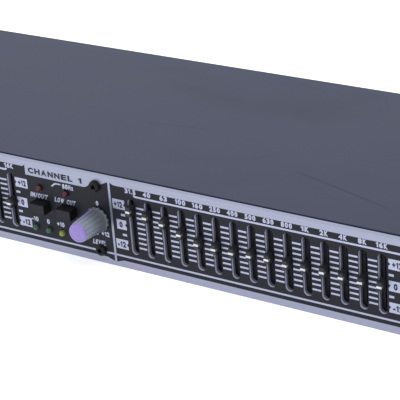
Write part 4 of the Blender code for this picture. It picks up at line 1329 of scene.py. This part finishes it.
class EQUALIZER_OT_mains_inlet(bpy.types.Operator):
    """Make the mains inlet with its flange, shroud and three blades"""
    bl_idname = "equalizer.mains_inlet"
    bl_label = "Mains inlet"

    def execute(self, context):
        place = middle("mains_inlet")
        low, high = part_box("mains_inlet")
        proud = high.y - REAR
        x, z = place.x, place.z
        half_x, half_z = (high.x - low.x) / 2, (high.z - low.z) / 2
        cut = 4.0 * MM
        u, v = 12.1 * MM, 8.1 * MM
        room = [(x - u, z - v), (x + u, z - v), (x + u, z + v - cut), (x + u - cut, z + v),
                (x - u + cut, z + v), (x - u, z + v - cut)]
        flat, end = 14.5 * MM, 5.0 * MM         # half lengths of the flange's long sides and its ends
        flange = [(x + across, z + up) for across, up in
                  ((-flat, -half_z), (flat, -half_z), (half_x, -end), (half_x, end),
                   (flat, half_z), (-flat, half_z), (-half_x, end), (-half_x, -end))]
        shape = sheet(bmesh.new(), [flange, room], -proud, -CLEARANCE, 0.4 * MM)
        wide, tall, cavity_end = 13.7 * MM, 9.8 * MM, 17.0 * MM
        sheet(shape, [rounded(x, z, wide, tall, 0.8 * MM), room], -CLEARANCE, cavity_end)
        block(shape, (x - wide, cavity_end, z - tall), (x + wide, 26.0 * MM, z + tall), 0.4 * MM)
        for across, up in ((-7.0, -2.0), (7.0, -2.0), (0.0, 2.0)):
            block(shape, (x + (across - 1.0) * MM, 1.0 * MM, z + (up - 2.0) * MM),
                  (x + (across + 1.0) * MM, 17.2 * MM, z + (up + 2.0) * MM), 0.35 * MM, 2, 1)
        for side in (-1, 1):
            screw(shape, (x + side * 20.0 * MM, -proud + 0.02 * MM, z), 2.3 * MM, 0.6 * MM, paint=2)
        mirror_to_back(shape, REAR)
        piece("mains_inlet_socket", shape, ["plastic", "nickel", "screw"], stands_for=["mains_inlet"])
        return {"FINISHED"}


# ---------------------------------------------------------------- inside

SLIDER_BOARD, CONTROL_BOARD = 12.25 * MM, 14.25 * MM    # just in front of each board's face


class EQUALIZER_OT_inside(bpy.types.Operator):
    """Finish the boards, potentiometers and transformer inside the casing"""
    bl_idname = "equalizer.inside"
    bl_label = "Inside"

    def execute(self, context):
        slider_board = circuit_board("slider_board_mask", FRONT + SLIDER_BOARD)
        control_board = circuit_board("control_board_mask", FRONT + CONTROL_BOARD)
        for channel in CHANNELS:
            repaint(f"slider_board_ch{channel}", slider_board)
            repaint(f"control_board_ch{channel}", control_board)
            repaint(f"level_pot_ch{channel}", FINISH["nickel"])
        repaint("main_board", FINISH["main_board"])
        repaint("transformer_core", FINISH["iron"])
        repaint("transformer_winding", FINISH["tape"])
        return {"FINISHED"}


# ---------------------------------------------------------------- panel and registration

OPERATORS = (EQUALIZER_OT_stage, EQUALIZER_OT_front_panel, EQUALIZER_OT_printing, EQUALIZER_OT_sliders,
             EQUALIZER_OT_level_knobs, EQUALIZER_OT_buttons, EQUALIZER_OT_lights, EQUALIZER_OT_screws,
             EQUALIZER_OT_power_switch, EQUALIZER_OT_casing, EQUALIZER_OT_xlr_sockets,
             EQUALIZER_OT_jack_pairs, EQUALIZER_OT_mains_inlet, EQUALIZER_OT_inside)


class EQUALIZER_PT_panel(bpy.types.Panel):
    """Lists the settings and the operators"""
    bl_label = "Equalizer"
    bl_idname = "EQUALIZER_PT_panel"
    bl_space_type = "VIEW_3D"
    bl_region_type = "UI"
    bl_category = "Equalizer"

    def draw(self, context):
        for group in (context.scene.equalizer_look, context.scene.equalizer_stage):
            for name in group.__annotations__:
                self.layout.prop(group, name)
        for operator in OPERATORS:
            self.layout.operator(operator.bl_idname)


CLASSES = (EqualizerLook, EqualizerStage, *OPERATORS, EQUALIZER_PT_panel)


def register():
    for cls in CLASSES:
        bpy.utils.register_class(cls)
    bpy.types.Scene.equalizer_look = PointerProperty(type=EqualizerLook)
    bpy.types.Scene.equalizer_stage = PointerProperty(type=EqualizerStage)


def unregister():
    del bpy.types.Scene.equalizer_stage
    del bpy.types.Scene.equalizer_look
    for cls in reversed(CLASSES):
        bpy.utils.unregister_class(cls)


def main():
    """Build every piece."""
    register()
    FINISH.update(make_finishes())
    for operator in OPERATORS:
        group, name = operator.bl_idname.split(".")
        getattr(getattr(bpy.ops, group), name)()


if __name__ == "__main__":
    main()
